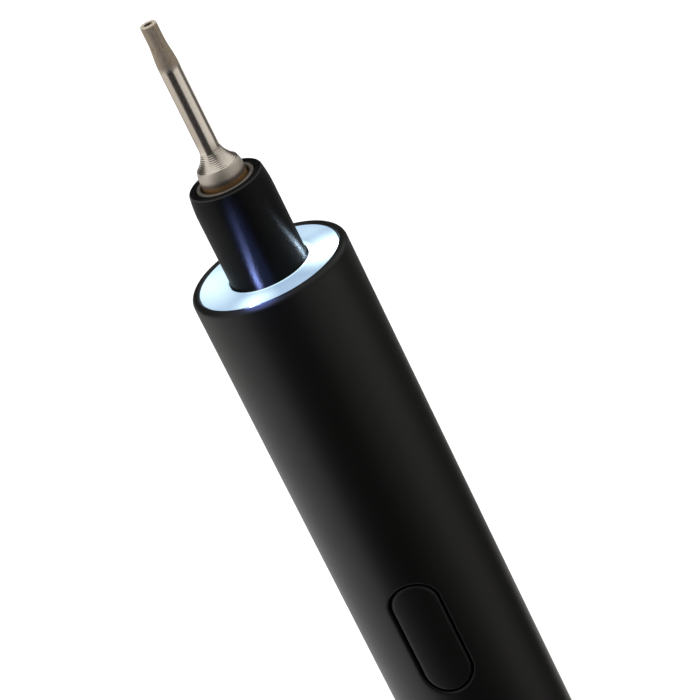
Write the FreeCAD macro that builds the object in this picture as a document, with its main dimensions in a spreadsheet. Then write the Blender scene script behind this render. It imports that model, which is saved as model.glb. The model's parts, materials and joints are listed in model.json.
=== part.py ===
import FreeCAD, Part
import Sketcher
import math
import os
import re

# A pen-shaped cordless electric screwdriver with a light ring round its nose.
# The axis is +Z towards the bit, the origin is the centre of the flat tail face, and the two
# buttons face -Y. Sizes are in millimetres.

SIZES = {
    # barrel and tail cap
    "barrel_diameter": 16.0,
    "barrel_length": 119.15,
    "barrel_front_round": 0.6,
    "rim_lip": 0.15,
    "tail_cap_height": 5.0,
    "tail_cap_floor": 2.0,
    "tail_spigot_length": 6.0,
    "tail_spigot_wall": 1.2,
    "tail_edge_round": 1.0,
    # fits shared by all the pieces
    "slip_fit": 0.05,
    "running_fit": 0.04,
    "press_gap": 0.01,
    "side_play": 0.2,
    # nose sleeve
    "nose_length": 10.0,
    "nose_foot_flare": 0.26,
    "nose_shoulder_length": 2.6,
    "nose_shoulder_drop": 0.2,
    "nose_tip_round": 0.35,
    "nose_mouth_gap": 0.15,
    "nose_flange_height": 5.0,
    # light ring
    "light_ring_height": 3.2,
    "light_ring_thickness": 1.6,
    "light_ring_skirt": 0.5,
    "light_ring_gap": 0.07,
    "led_board_thickness": 0.8,
    "led_height": 0.6,
    "ribbon_width": 3.0,
    "ribbon_thickness": 0.15,
    "ribbon_inset": 0.25,
    "ribbon_lap": 3.0,
    # spindle, magnet, bush and bearing
    "spindle_recess": 0.05,
    "spindle_edge": 0.15,
    "seat_depth": 0.8,
    "shaft_flat_depth": 0.5,
    "magnet_height": 2.0,
    "bush_wall": 0.46,
    "bush_length": 6.0,
    "bush_rise": 1.5,
    "bearing_width": 3.0,
    "bearing_recess": 0.2,
    "cage_rail": 0.3,
    "clip_thickness": 0.5,
    "clip_groove_depth": 0.3,
    "clip_reach": 0.9,
    # screwdriver bit
    "bit_length": 28.0,
    "bit_insertion": 11.1,
    "bit_rear_chamfer": 0.4,
    "bit_tip_length": 2.9,
    "bit_taper_length": 1.7,
    "bit_shaft_length": 8.9,
    "bit_flare_length": 1.4,
    "bit_bulge_length": 1.1,
    "bit_collar_gap": 0.1,
    "bit_hole_depth": 1.5,
    "bit_tip_chamfer": 0.1,
    "socket_clearance": 0.03,
    # gearbox
    "gearbox_gap": 0.25,
    "gear_backlash": 0.04,
    "input_face_width": 2.6,
    "output_face_width": 3.2,
    "planet_side_gap": 0.2,
    "stage_gap": 0.3,
    "carrier_rim_gap": 0.3,
    "input_carrier_thickness": 1.2,
    "output_carrier_thickness": 1.6,
    "output_hub_height": 2.8,
    "output_hub_wall": 0.8,
    "bolt_head_height": 0.9,
    "bolt_engagement": 3.5,
    "motor_plate_thickness": 1.4,
    # motor
    "motor_length": 24.0,
    "motor_can_wall": 0.5,
    "motor_bush_length": 2.2,
    "motor_boss_height": 0.8,
    "motor_magnet_overhang": 1.0,
    "motor_magnet_gap": 2.4,
    "motor_air_gap": 0.3,
    "winding_overhang": 1.3,
    "commutator_length": 2.4,
    "motor_cap_thickness": 1.6,
    "motor_cap_spigot": 1.4,
    "brush_thickness": 0.6,
    "brush_width": 1.2,
    "brush_height": 2.0,
    "terminal_length": 1.6,
    "terminal_width": 1.2,
    "terminal_thickness": 0.3,
    "lead_bend_radius": 0.9,
    "motor_screw_head_height": 0.5,
    # buttons and switches
    "button_setback": 39.73,
    "button_spacing": 17.0,
    "button_window_length": 13.1,
    "button_side_gap": 0.3,
    "button_sink": 0.05,
    "button_flange_reach": 0.4,
    "button_flange_thickness": 0.3,
    "button_travel": 0.22,
    "button_nub_diameter": 1.6,
    "switch_size": 3.0,
    "switch_height": 0.4,
    "plunger_diameter": 1.2,
    "plunger_rise": 0.25,
    # frame and main board
    "frame_gap": 0.1,
    "board_rear_margin": 9.0,
    "board_front_margin": 1.0,
    "board_screw_grip": 0.5,
    "chip_height": 0.6,
    "chip_width": 3.6,
    "chip_pitch": 6.5,
    # battery
    "battery_front_gap": 4.0,
    "battery_rear_gap": 8.6,
    "battery_nub_diameter": 4.0,
    "battery_nub_height": 0.6,
    "battery_edge_round": 0.5,
    "tab_thickness": 0.15,
    "tab_lap": 2.0,
    # charging socket
    "usb_width": 8.94,
    "usb_height": 3.2,
    "usb_wall": 0.25,
    "usb_depth": 7.2,
    "usb_recess": 0.6,
    "usb_slot_gap": 0.1,
    "usb_board_length": 18.0,
    "usb_block_depth": 1.5,
    "usb_tongue_width": 6.7,
    "usb_tongue_thickness": 0.7,
    "usb_tongue_length": 4.5,
    "usb_contact_pitch": 0.5,
    "usb_contact_width": 0.25,
    "usb_contact_thickness": 0.06,
    "usb_contact_length": 3.6,
}

# Sizes across the axis, as shares of the barrel's diameter: a slimmer barrel slims what is in it.
SHARES = {
    "barrel_wall": 0.05,
    "nose_diameter": 0.4925,
    "led_length": 0.125,
    "led_width": 0.078125,
    "spindle_diameter": 0.3625,
    "shaft_diameter": 0.25,
    "magnet_diameter": 0.2375,
    "seat_diameter": 0.3125,
    "bit_flats": 0.25,
    "bit_shaft_diameter": 0.125,
    "bit_tip_diameter": 0.1,
    "bit_collar_diameter": 0.28125,
    "bit_flare_diameter": 0.25,
    "bit_flute_diameter": 0.03125,
    "bit_flute_depth": 0.0125,
    "bit_hole_diameter": 0.0525,
    "bearing_section": 0.125,
    "ball_diameter": 0.06875,
    "race_gap": 0.0475,
    "cage_thickness": 0.0275,
    "gear_wall": 0.11875,
    "planet_pin_diameter": 0.075,
    "bolt_diameter": 0.075,
    "bolt_head_diameter": 0.10625,
    "side_space": 0.1375,
    "motor_shaft_diameter": 0.0625,
    "motor_bush_diameter": 0.2,
    "motor_magnet_thickness": 0.05,
    "rotor_slot_width": 0.0625,
    "rotor_hub_diameter": 0.175,
    "commutator_diameter": 0.15,
    "motor_screw_diameter": 0.0625,
    "motor_screw_head_diameter": 0.1125,
    "motor_screw_spread": 0.4,
    "terminal_depth": 0.15,
    "tab_width": 0.1375,
    "lead_diameter": 0.0375,
    "button_window_width": 0.31875,
    "board_width": 0.4375,
    "board_thickness": 0.0375,
    "board_screw_spread": 0.35,
    "board_screw_diameter": 0.05,
    "board_screw_head_diameter": 0.08125,
    "board_screw_head_height": 0.025,
}

# Teeth of each planetary stage, the planets in a stage and the balls in the bearing.
SUN_TEETH = 12
PLANET_TEETH = 18
RING_TEETH = SUN_TEETH + 2 * PLANET_TEETH
PLANETS = 3
BALLS = 7
PRESSURE_ANGLE = math.radians(25)
ADDENDUM = 1.0
DEDENDUM = 1.25
PLANET_ANGLES = [360 / PLANETS * i for i in range(PLANETS)]
BOLT_ANGLES = [90, 210, 330]
LED_ANGLES = [-102, 4, 131]
FLUTES = 6
CONTACTS_PER_SIDE = 12
CHIPS = 3
ROTOR_SLOTS = 3

# Stations along the axis and radii that several pieces share, worked out from the sizes.
PLACES = {name: f"{share} * barrel_diameter" for name, share in SHARES.items()}
PLACES |= {
    "barrel_radius": "barrel_diameter / 2",
    "bore_radius": "barrel_radius - barrel_wall",
    "core_radius": "bore_radius - side_space",
    "front_z": "tail_cap_height + barrel_length",
    "ring_z": "front_z - rim_lip",
    "nose_radius": "nose_diameter / 2",
    "nose_foot_radius": "nose_radius + nose_foot_flare",
    "nose_top_z": "ring_z + nose_length",
    "flange_top_z": "ring_z - light_ring_height - led_board_thickness",
    "flange_z": "flange_top_z - nose_flange_height",
    "flange_radius": "bore_radius - slip_fit",
    "bit_rear_z": "nose_top_z - bit_insertion",
    "bit_tip_z": "bit_rear_z + bit_length",
    "spindle_radius": "spindle_diameter / 2",
    "spindle_face_z": "nose_top_z - spindle_recess",
    "seat_z": "spindle_face_z - seat_depth",
    "shaft_radius": "shaft_diameter / 2",
    "bush_radius": "spindle_radius + running_fit + bush_wall",
    "bush_top_z": "ring_z + bush_rise",
    "bearing_z": "flange_z + bearing_recess",
    "bearing_mid_z": "bearing_z + bearing_width / 2",
    "shoulder_z": "bearing_z + bearing_width",
    "bearing_radius": "shaft_radius + bearing_section",
    "ball_orbit": "shaft_radius + bearing_section / 2",
    "clip_z": "bearing_z - clip_thickness",
    "hub_top_z": "clip_z - stage_gap",
    "output_plate_z": "hub_top_z - output_hub_height - output_carrier_thickness",
    "output_planet_z": "output_plate_z - planet_side_gap - output_face_width",
    "input_plate_top_z": "output_planet_z - stage_gap",
    "input_plate_z": "input_plate_top_z - input_carrier_thickness",
    "input_planet_z": "input_plate_z - planet_side_gap - input_face_width",
    "plate_top_z": "input_planet_z - stage_gap",
    "motor_front_z": "plate_top_z - motor_plate_thickness",
    "motor_rear_z": "motor_front_z - motor_length",
    "can_rear_z": "motor_rear_z + motor_cap_thickness",
    "can_bore_radius": "core_radius - motor_can_wall",
    "rotor_radius": "can_bore_radius - motor_magnet_thickness - motor_air_gap",
    "cap_inner_z": "can_rear_z + motor_cap_spigot",
    "commutator_z": "cap_inner_z + side_play",
    "commutator_top_z": "commutator_z + commutator_length",
    "core_z": "commutator_top_z + side_play + winding_overhang",
    "boss_top_z": "motor_front_z + motor_boss_height",
    "core_top_z": "boss_top_z - motor_bush_length - side_play - winding_overhang",
    "gearbox_radius": "bore_radius - gearbox_gap",
    "gear_root_radius": "gearbox_radius - gear_wall",
    "bolt_orbit": "gearbox_radius - gear_wall / 2",
    "gear_module": f"gear_root_radius / ({RING_TEETH} / 2 + {DEDENDUM})",
    "planet_orbit": f"({SUN_TEETH} + {PLANET_TEETH}) / 2 * gear_module",
    "carrier_radius": f"({RING_TEETH} / 2 - {ADDENDUM}) * gear_module - carrier_rim_gap",
    "frame_z": "tail_cap_height + tail_spigot_length",
    "frame_top_z": "motor_front_z - bolt_head_height - stage_gap",
    "frame_bore_radius": "core_radius + frame_gap",
    "terminal_spread": "tab_width + lead_diameter + 2 * side_play",
    "frame_channel_width": "terminal_spread + lead_diameter + 2 * side_play",
    "board_back": "core_radius + side_play",
    "board_face": "board_back + board_thickness",
    "board_z": "frame_z + board_rear_margin",
    "board_top_z": "frame_top_z - board_front_margin",
    "forward_z": "ring_z - button_setback",
    "reverse_z": "forward_z - button_spacing",
    "switch_face": "board_face + switch_height",
    "plunger_face": "switch_face + plunger_rise",
    "button_radius": "barrel_radius - button_sink",
    "button_flange_radius": "bore_radius - slip_fit",
    "battery_top_z": "motor_rear_z - battery_front_gap",
    "usb_board_top_z": "tail_cap_floor + usb_board_length",
    "battery_z": "usb_board_top_z + battery_rear_gap",
    "usb_rear_z": "usb_recess + usb_depth",
}

doc = FreeCAD.newDocument("ElectricScrewdriver")
nodes = []


def write_sheet(name, cells):
    """A spreadsheet with one named cell for each entry."""
    sheet = doc.addObject("Spreadsheet::Sheet", name)
    for row, (alias, content) in enumerate(cells.items(), start=1):
        sheet.set(f"A{row}", alias)
        sheet.set(f"B{row}", content)
        sheet.setAlias(f"B{row}", alias)
    return sheet


def bound(formula):
    """The formula with each size and place written as a cell of its sheet."""
    def qualified(match):
        word = match.group()
        if word in SIZES:
            return "Sizes." + word
        if word in PLACES:
            return "Places." + word
        return word
    return re.sub(r"[a-z][a-z_]*", qualified, formula)


write_sheet("Sizes", {name: str(size) for name, size in SIZES.items()})
write_sheet("Places", {name: "=" + bound(formula) for name, formula in PLACES.items()})
reading = doc.addObject("App::FeaturePython", "Reading")
reading.addProperty("App::PropertyFloat", "Amount")
doc.recompute()


def amount(formula):
    """The present value of a formula."""
    reading.setExpression("Amount", bound(formula))
    reading.recompute()
    return reading.Amount


def bind(feature, **formulas):
    for name, formula in formulas.items():
        feature.setExpression(name, bound(formula))


def place(feature, x="0", y="0", z="0"):
    """Put a feature at a point given by formulas, with its turn left as it is."""
    for axis, formula in zip("xyz", (x, y, z)):
        feature.setExpression("Placement.Base." + axis, bound(formula))
    return feature


def node(feature, label):
    """Name a finished sub-part, which is then written to its own file."""
    feature.Label = label
    nodes.append(feature)
    return feature


# Sketched shapes


def new_sketch(body, role):
    sketch = body.newObject("Sketcher::SketchObject", body.Name + "_sketch")
    plane = next(item for item in body.Origin.OriginFeatures if item.Role == role)
    sketch.AttachmentSupport = [(plane, "")]
    sketch.MapMode = "FlatFace"
    return sketch


def pin_point(sketch, geometry, end, x, y):
    """Hold one end of a sketch element at formulas measured from the sketch's origin."""
    for kind, formula in (("DistanceX", x), ("DistanceY", y)):
        hold = Sketcher.Constraint(kind, -1, 1, geometry, end, amount(formula))
        number = sketch.addConstraint(hold)
        sketch.setExpression(f"Constraints[{number}]", bound(formula))


def arc_between(start, end, radius, turn):
    """The short arc of a radius from start to end; turn is 1 for anticlockwise."""
    chord = end - start
    left = FreeCAD.Vector(-chord.y, chord.x, 0).normalize()
    rise = math.sqrt(max(radius ** 2 - (chord.Length / 2) ** 2, 0))
    centre = (start + end) * 0.5 + left * rise * turn
    first, last = (start, end) if turn > 0 else (end, start)
    angles = [math.atan2(p.y - centre.y, p.x - centre.x) for p in (first, last)]
    if angles[1] < angles[0]:
        angles[1] += 2 * math.pi
    return Part.ArcOfCircle(Part.Circle(centre, FreeCAD.Vector(0, 0, 1), radius), *angles)


def turned(name, *corners):
    """A body turned about the axis from corners (radius, height).

    A corner may add (arc radius, turn): the side to the next corner is then that arc.
    """
    body = doc.addObject("PartDesign::Body", name)
    sketch = new_sketch(body, "XZ_Plane")
    points = [FreeCAD.Vector(amount(c[0]), amount(c[1]), 0) for c in corners]
    ends = []
    for i, corner in enumerate(corners):
        start, end = points[i], points[(i + 1) % len(points)]
        if len(corner) == 2:
            sketch.addGeometry(Part.LineSegment(start, end))
            ends.append((1, 2))
            continue
        radius, turn = corner[2:]
        sketch.addGeometry(arc_between(start, end, amount(radius), turn))
        ends.append((1, 2) if turn > 0 else (2, 1))
        number = sketch.addConstraint(Sketcher.Constraint("Radius", i, amount(radius)))
        sketch.setExpression(f"Constraints[{number}]", bound(radius))
    for i, corner in enumerate(corners):
        after = (i + 1) % len(corners)
        sketch.addConstraint(Sketcher.Constraint("Coincident", i, ends[i][1], after, ends[after][0]))
        pin_point(sketch, i, ends[i][0], corner[0], corner[1])
    turning = body.newObject("PartDesign::Revolution", name + "_turning")
    turning.Profile = sketch
    turning.ReferenceAxis = (sketch, ["V_Axis"])
    turning.Angle = 360
    return body


def slot_bar(name, role, width, length, depth):
    """A bar with a section like a running track, along the normal of an origin plane."""
    body = doc.addObject("PartDesign::Body", name)
    sketch = new_sketch(body, role)
    side, straight = f"({width}) / 2", f"(({length}) - ({width})) / 2"
    x, y = amount(side), amount(straight)
    sketch.addGeometry(Part.LineSegment(FreeCAD.Vector(x, -y, 0), FreeCAD.Vector(x, y, 0)))
    sketch.addGeometry(arc_between(FreeCAD.Vector(x, y, 0), FreeCAD.Vector(-x, y, 0), x, 1))
    sketch.addGeometry(Part.LineSegment(FreeCAD.Vector(-x, y, 0), FreeCAD.Vector(-x, -y, 0)))
    sketch.addGeometry(arc_between(FreeCAD.Vector(-x, -y, 0), FreeCAD.Vector(x, -y, 0), x, 1))
    corners = [(side, f"-{straight}"), (side, straight), (f"-{side}", straight),
               (f"-{side}", f"-{straight}")]
    for i, (across, along) in enumerate(corners):
        sketch.addConstraint(Sketcher.Constraint("Coincident", i, 2, (i + 1) % 4, 1))
        pin_point(sketch, i, 1, across, along)
    for arc, along in ((1, straight), (3, f"-{straight}")):
        hold = Sketcher.Constraint("DistanceY", -1, 1, arc, 3, amount(along))
        number = sketch.addConstraint(hold)
        sketch.setExpression(f"Constraints[{number}]", bound(along))
    pad = body.newObject("PartDesign::Pad", name + "_pad")
    pad.Profile = sketch
    bind(pad, Length=depth)
    return body


def rounded(body, radius, *corners):
    """Round the circular edges of a turned body at the given corners."""
    doc.recompute()
    base = body.Tip
    targets = [(amount(r), amount(z)) for r, z in corners]
    names = []
    for number, edge in enumerate(base.Shape.Edges, start=1):
        if not isinstance(edge.Curve, Part.Circle):
            continue
        spot = (edge.Curve.Radius, edge.Curve.Center.z)
        if any(math.dist(spot, target) < 1e-6 for target in targets):
            names.append(f"Edge{number}")
    fillet = body.newObject("PartDesign::Fillet", body.Name + "_fillet")
    fillet.Base = (base, names)
    bind(fillet, Radius=radius)
    return body


# Primitive shapes and their combinations


def block(name, size, corner):
    box = doc.addObject("Part::Box", name)
    bind(box, Length=size[0], Width=size[1], Height=size[2])
    return place(box, *corner)


def radial_block(name, angle, start, size, z):
    """A block that points away from the axis at an angle, from a starting radius outwards."""
    box = doc.addObject("Part::Box", name)
    bind(box, Length=size[0], Width=size[1], Height=size[2])
    box.Placement.Rotation = FreeCAD.Rotation(FreeCAD.Vector(0, 0, 1), angle)
    x = f"({start}) * cos({angle} deg) + ({size[1]}) / 2 * sin({angle} deg)"
    y = f"({start}) * sin({angle} deg) - ({size[1]}) / 2 * cos({angle} deg)"
    return place(box, x, y, z)


def rod(name, radius, length, x="0", y="0", z="0", inward=False):
    """A cylinder upwards along Z, or inwards along +Y from its outer end."""
    cylinder = doc.addObject("Part::Cylinder", name)
    bind(cylinder, Radius=radius, Height=length)
    if inward:
        cylinder.Placement.Rotation = FreeCAD.Rotation(FreeCAD.Vector(1, 0, 0), -90)
    return place(cylinder, x, y, z)


def tube(name, outer, inner, low, high):
    return turned(name, (inner, low), (outer, low), (outer, high), (inner, high))


def cone(name, low_radius, high_radius, height, x, y, z):
    shape = doc.addObject("Part::Cone", name)
    bind(shape, Radius1=low_radius, Radius2=high_radius, Height=height)
    return place(shape, x, y, z)


def fused(name, *shapes):
    union = doc.addObject("Part::MultiFuse", name)
    union.Shapes = list(shapes)
    return union


def cut(name, base, *tools):
    difference = doc.addObject("Part::Cut", name)
    difference.Base = base
    difference.Tool = tools[0] if len(tools) == 1 else fused(name + "_tools", *tools)
    return difference


def common(name, first, second):
    overlap = doc.addObject("Part::Common", name)
    overlap.Base = first
    overlap.Tool = second
    return overlap


def grouped(name, shapes):
    group = doc.addObject("Part::Compound", name)
    group.Links = list(shapes)
    return group


def polar(radius, angle):
    """Formulas for a point on a circle about the axis."""
    return f"({radius}) * cos({angle} deg)", f"({radius}) * sin({angle} deg)"


def around(name, angles, orbit, radius, length, z):
    """Equal rods upright on a circle about the axis."""
    rods = []
    for angle in angles:
        x, y = polar(orbit, angle)
        rods.append(rod(name, radius, length, x, y, z))
    return rods


# Gears


def involute_lean(radius, base_radius):
    turn = math.acos(min(base_radius / radius, 1))
    return math.tan(turn) - turn


def on_circle(radius, angle):
    return FreeCAD.Vector(radius * math.cos(angle), radius * math.sin(angle), 0)


def gear_outline(teeth, tip_height, root_height, extra_width, turn):
    """A closed gear outline about the origin, with a tooth at the angle turn.

    The flanks are arcs through three points of the involute. extra_width is added to the
    tooth's thickness on the pitch circle.
    """
    module = amount("gear_module")
    pitch = teeth * module / 2
    base = pitch * math.cos(PRESSURE_ANGLE)
    tip = pitch + tip_height * module
    root = pitch - root_height * module
    start = max(base, root)
    half = math.pi / (2 * teeth) + extra_width / (2 * pitch) + involute_lean(pitch, base)

    def flank(radius):
        return half - involute_lean(radius, base)

    edges = []
    for k in range(teeth):
        middle = turn + 2 * math.pi * k / teeth
        following = middle + 2 * math.pi / teeth
        rising = [on_circle(r, middle - flank(r)) for r in (start, (start + tip) / 2, tip)]
        falling = [on_circle(r, middle + flank(r)) for r in (tip, (start + tip) / 2, start)]
        low = [on_circle(root, middle - flank(start)), on_circle(root, middle + flank(start))]
        next_low = on_circle(root, following - flank(start))
        if root < start:
            edges.append(Part.LineSegment(low[0], rising[0]))
        edges.append(Part.Arc(*rising))
        edges.append(Part.Arc(rising[2], on_circle(tip, middle), falling[0]))
        edges.append(Part.Arc(*falling))
        if root < start:
            edges.append(Part.LineSegment(falling[2], low[1]))
        edges.append(Part.Arc(low[1], on_circle(root, middle + math.pi / teeth), next_low))
    return Part.Wire([edge.toShape() for edge in edges])


def toothed(name, wire, thickness, spot):
    """A gear blank from its outline, standing at a spot."""
    gear = doc.addObject("Part::Feature", name)
    gear.Shape = Part.Face(wire).extrude(FreeCAD.Vector(0, 0, thickness))
    gear.Placement = FreeCAD.Placement(spot, FreeCAD.Rotation())
    return gear


def external_gear(name, teeth, turn, thickness, spot):
    thinning = -amount("gear_backlash") / 2
    return toothed(name, gear_outline(teeth, ADDENDUM, DEDENDUM, thinning, turn), thickness, spot)


# Housing


def make_barrel():
    shell = tube("BarrelTube", "barrel_radius", "bore_radius", "tail_cap_height", "front_z")
    rounded(shell, "barrel_front_round", ("barrel_radius", "front_z"))
    windows = []
    for z in ("forward_z", "reverse_z"):
        window = slot_bar("ButtonWindow", "XZ_Plane", "button_window_width", "button_window_length",
                          "barrel_diameter")
        windows.append(place(window, z=z))
    node(cut("Barrel", shell, *windows), "barrel")


def make_tail_cap():
    spigot = "flange_radius"
    inside = "flange_radius - tail_spigot_wall"
    cap = turned("TailCapTurned", ("0", "0"), ("barrel_radius", "0"), ("barrel_radius", "tail_cap_height"),
                 (spigot, "tail_cap_height"), (spigot, "frame_z"), (inside, "frame_z"),
                 (inside, "tail_cap_floor"), ("0", "tail_cap_floor"))
    rounded(cap, "tail_edge_round", ("barrel_radius", "0"))
    slot = slot_bar("TailSlot", "XY_Plane", "usb_height + 2 * usb_slot_gap", "usb_width + 2 * usb_slot_gap",
                    "tail_cap_height")
    slot.Placement.Rotation = FreeCAD.Rotation(FreeCAD.Vector(0, 0, 1), 90)
    node(cut("TailCap", cap, slot), "tail_cap")


def make_nose():
    shoulder = "nose_radius - nose_shoulder_drop"
    shoulder_z = "nose_top_z - nose_tip_round"
    shoulder_rise = "(nose_shoulder_length - nose_tip_round)"
    shoulder_arc = f"({shoulder_rise}^2 + nose_shoulder_drop^2) / (2 * nose_shoulder_drop)"
    mouth = "spindle_radius + nose_mouth_gap"
    nose = turned(
        "NoseTurned",
        ("bearing_radius", "flange_z"),
        ("flange_radius", "flange_z"),
        ("flange_radius", "flange_top_z"),
        ("nose_foot_radius", "flange_top_z"),
        ("nose_foot_radius", "ring_z", "nose_foot_flare", -1),
        ("nose_radius", "ring_z + nose_foot_flare"),
        ("nose_radius", "nose_top_z - nose_shoulder_length", shoulder_arc, 1),
        (shoulder, shoulder_z, "nose_tip_round", 1),
        (shoulder + " - nose_tip_round", "nose_top_z"),
        (mouth, "nose_top_z"),
        (mouth, "bush_top_z"),
        ("bush_radius", "bush_top_z"),
        ("bush_radius", "shoulder_z"),
        ("bearing_radius", "shoulder_z"))
    holes = around("BoltHole", BOLT_ANGLES, "bolt_orbit", "bolt_diameter / 2", "bolt_engagement + side_play",
                   "flange_z")
    notch = ribbon_groove("flange_z", "nose_flange_height")
    node(cut("NoseSleeve", nose, notch, *holes), "nose_sleeve")


def ribbon_groove(z, height):
    """The groove that lets the light ring's ribbon pass a round piece."""
    depth = "bore_radius - ribbon_inset - ribbon_thickness - slip_fit"
    return block("RibbonGroove", ("ribbon_width + 2 * side_play", "barrel_radius", height),
                 ("-ribbon_width / 2 - side_play", f"-({depth}) - barrel_radius", z))


def make_light_ring():
    outer = "bore_radius - light_ring_gap"
    inner = "nose_foot_radius + slip_fit"
    board_top = "flange_top_z + led_board_thickness"
    underside = "ring_z - light_ring_thickness"
    skirt = outer + " - light_ring_skirt"
    ring = turned("LightRing", (outer, board_top), (outer, "ring_z"), (inner, "ring_z"), (inner, underside),
                  (skirt, underside), (skirt, board_top))
    node(ring, "light_ring")
    node(tube("LedBoard", outer, inner, "flange_top_z", board_top), "led_board")
    middle = f"({outer} + {inner}) / 2"
    leds = []
    for angle in LED_ANGLES:
        size = ("led_width", "led_length", "led_height")
        leds.append(radial_block("Led", angle, f"{middle} - led_width / 2", size, board_top))
    node(grouped("Leds", leds), "led_chips")


def make_led_ribbon():
    """A flat flexible cable from the light ring's board down to the main board."""
    outer = -amount("bore_radius - ribbon_inset")
    face = -amount("board_face")
    thickness = amount("ribbon_thickness")
    top = amount("flange_top_z")
    bend = amount("frame_top_z")
    landing = bend - amount("ribbon_lap")
    end = landing - amount("ribbon_lap")
    inner_bend = bend - thickness / 2
    outline = [(outer, top), (outer, bend), (face - thickness, landing), (face - thickness, end),
               (face, end), (face, landing + thickness / 2), (outer + thickness, inner_bend + thickness),
               (outer + thickness, top)]
    width = amount("ribbon_width")
    points = [FreeCAD.Vector(-width / 2, y, z) for y, z in outline]
    ribbon = doc.addObject("Part::Feature", "LedRibbon")
    ribbon.Shape = Part.Face(Part.makePolygon(points + points[:1])).extrude(FreeCAD.Vector(width, 0, 0))
    node(ribbon, "led_ribbon")


# Spindle and bearing


def make_spindle():
    groove = "shaft_radius - clip_groove_depth"
    turned_spindle = turned(
        "SpindleTurned",
        ("0", "output_plate_z"),
        ("shaft_radius", "output_plate_z"),
        ("shaft_radius", "clip_z"),
        (groove, "clip_z"),
        (groove, "bearing_z"),
        ("shaft_radius", "bearing_z"),
        ("shaft_radius", "shoulder_z"),
        ("spindle_radius", "shoulder_z"),
        ("spindle_radius", "spindle_face_z - spindle_edge"),
        ("spindle_radius - spindle_edge", "spindle_face_z"),
        ("0", "spindle_face_z"))
    socket = doc.addObject("Part::Prism", "HexSocket")
    socket.Polygon = 6
    bind(socket, Circumradius="(bit_flats / 2 + socket_clearance) / cos(30 deg)",
         Height="spindle_face_z - bit_rear_z")
    place(socket, z="bit_rear_z")
    seat = rod("CollarSeat", "seat_diameter / 2", "seat_depth", z="seat_z")
    pocket = rod("MagnetPocket", "magnet_diameter / 2", "magnet_height", z="bit_rear_z - magnet_height")
    node(cut("Spindle", turned_spindle, socket, seat, pocket, shaft_flat("0")), "spindle")
    node(rod("SocketMagnet", "magnet_diameter / 2", "magnet_height", z="bit_rear_z - magnet_height"),
         "socket_magnet")


def shaft_flat(clearance):
    """The half space beyond the driving flat of the shaft, as far up as the carrier's hub."""
    return block("ShaftFlat", ("shaft_diameter", "2 * shaft_diameter", "hub_top_z - output_plate_z"),
                 (f"shaft_radius - shaft_flat_depth + {clearance}", "-shaft_diameter", "output_plate_z"))


def make_bearing():
    ball = "(ball_diameter / 2 + running_fit)"
    lip = "race_gap / 2"
    mouth = f"sqrt({ball}^2 - ({lip})^2)"
    low, high = f"bearing_mid_z - {mouth}", f"bearing_mid_z + {mouth}"
    inner, outer = f"ball_orbit - {lip}", f"ball_orbit + {lip}"
    node(turned("InnerRace", ("shaft_radius", "bearing_z"), (inner, "bearing_z"), (inner, low, ball, -1),
                (inner, high), (inner, "shoulder_z"), ("shaft_radius", "shoulder_z")), "bearing_inner_race")
    node(turned("OuterRace", ("bearing_radius", "bearing_z"), (outer, "bearing_z"), (outer, low, ball, 1),
                (outer, high), (outer, "shoulder_z"), ("bearing_radius", "shoulder_z")),
         "bearing_outer_race")
    balls = []
    pockets = []
    for i in range(BALLS):
        x, y = polar("ball_orbit", 360 / BALLS * (i + 0.5))
        for spheres, radius in ((balls, "ball_diameter / 2"), (pockets, ball)):
            sphere = doc.addObject("Part::Sphere", "Ball")
            bind(sphere, Radius=radius)
            spheres.append(place(sphere, x, y, "bearing_mid_z"))
    node(grouped("Balls", balls), "bearing_balls")
    cage = tube("CageRing", "ball_orbit + cage_thickness / 2", "ball_orbit - cage_thickness / 2",
                f"bearing_mid_z - {ball} / 2", f"bearing_mid_z + {ball} + cage_rail")
    node(cut("Cage", cage, *pockets), "bearing_cage")
    washer = tube("ClipWasher", "shaft_radius + clip_reach", "shaft_radius - clip_groove_depth", "clip_z",
                  "bearing_z")
    mouth_cut = block("ClipMouth", ("shaft_diameter", "shaft_diameter", "clip_thickness"),
                      ("-shaft_radius", "-shaft_diameter - shaft_radius / 2", "clip_z"))
    node(cut("SpindleClip", washer, mouth_cut), "spindle_clip")
    node(tube("FrontBush", "bush_radius", "spindle_radius + running_fit", "bush_top_z - bush_length",
              "bush_top_z"), "front_bush")


# Screwdriver bit


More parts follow.
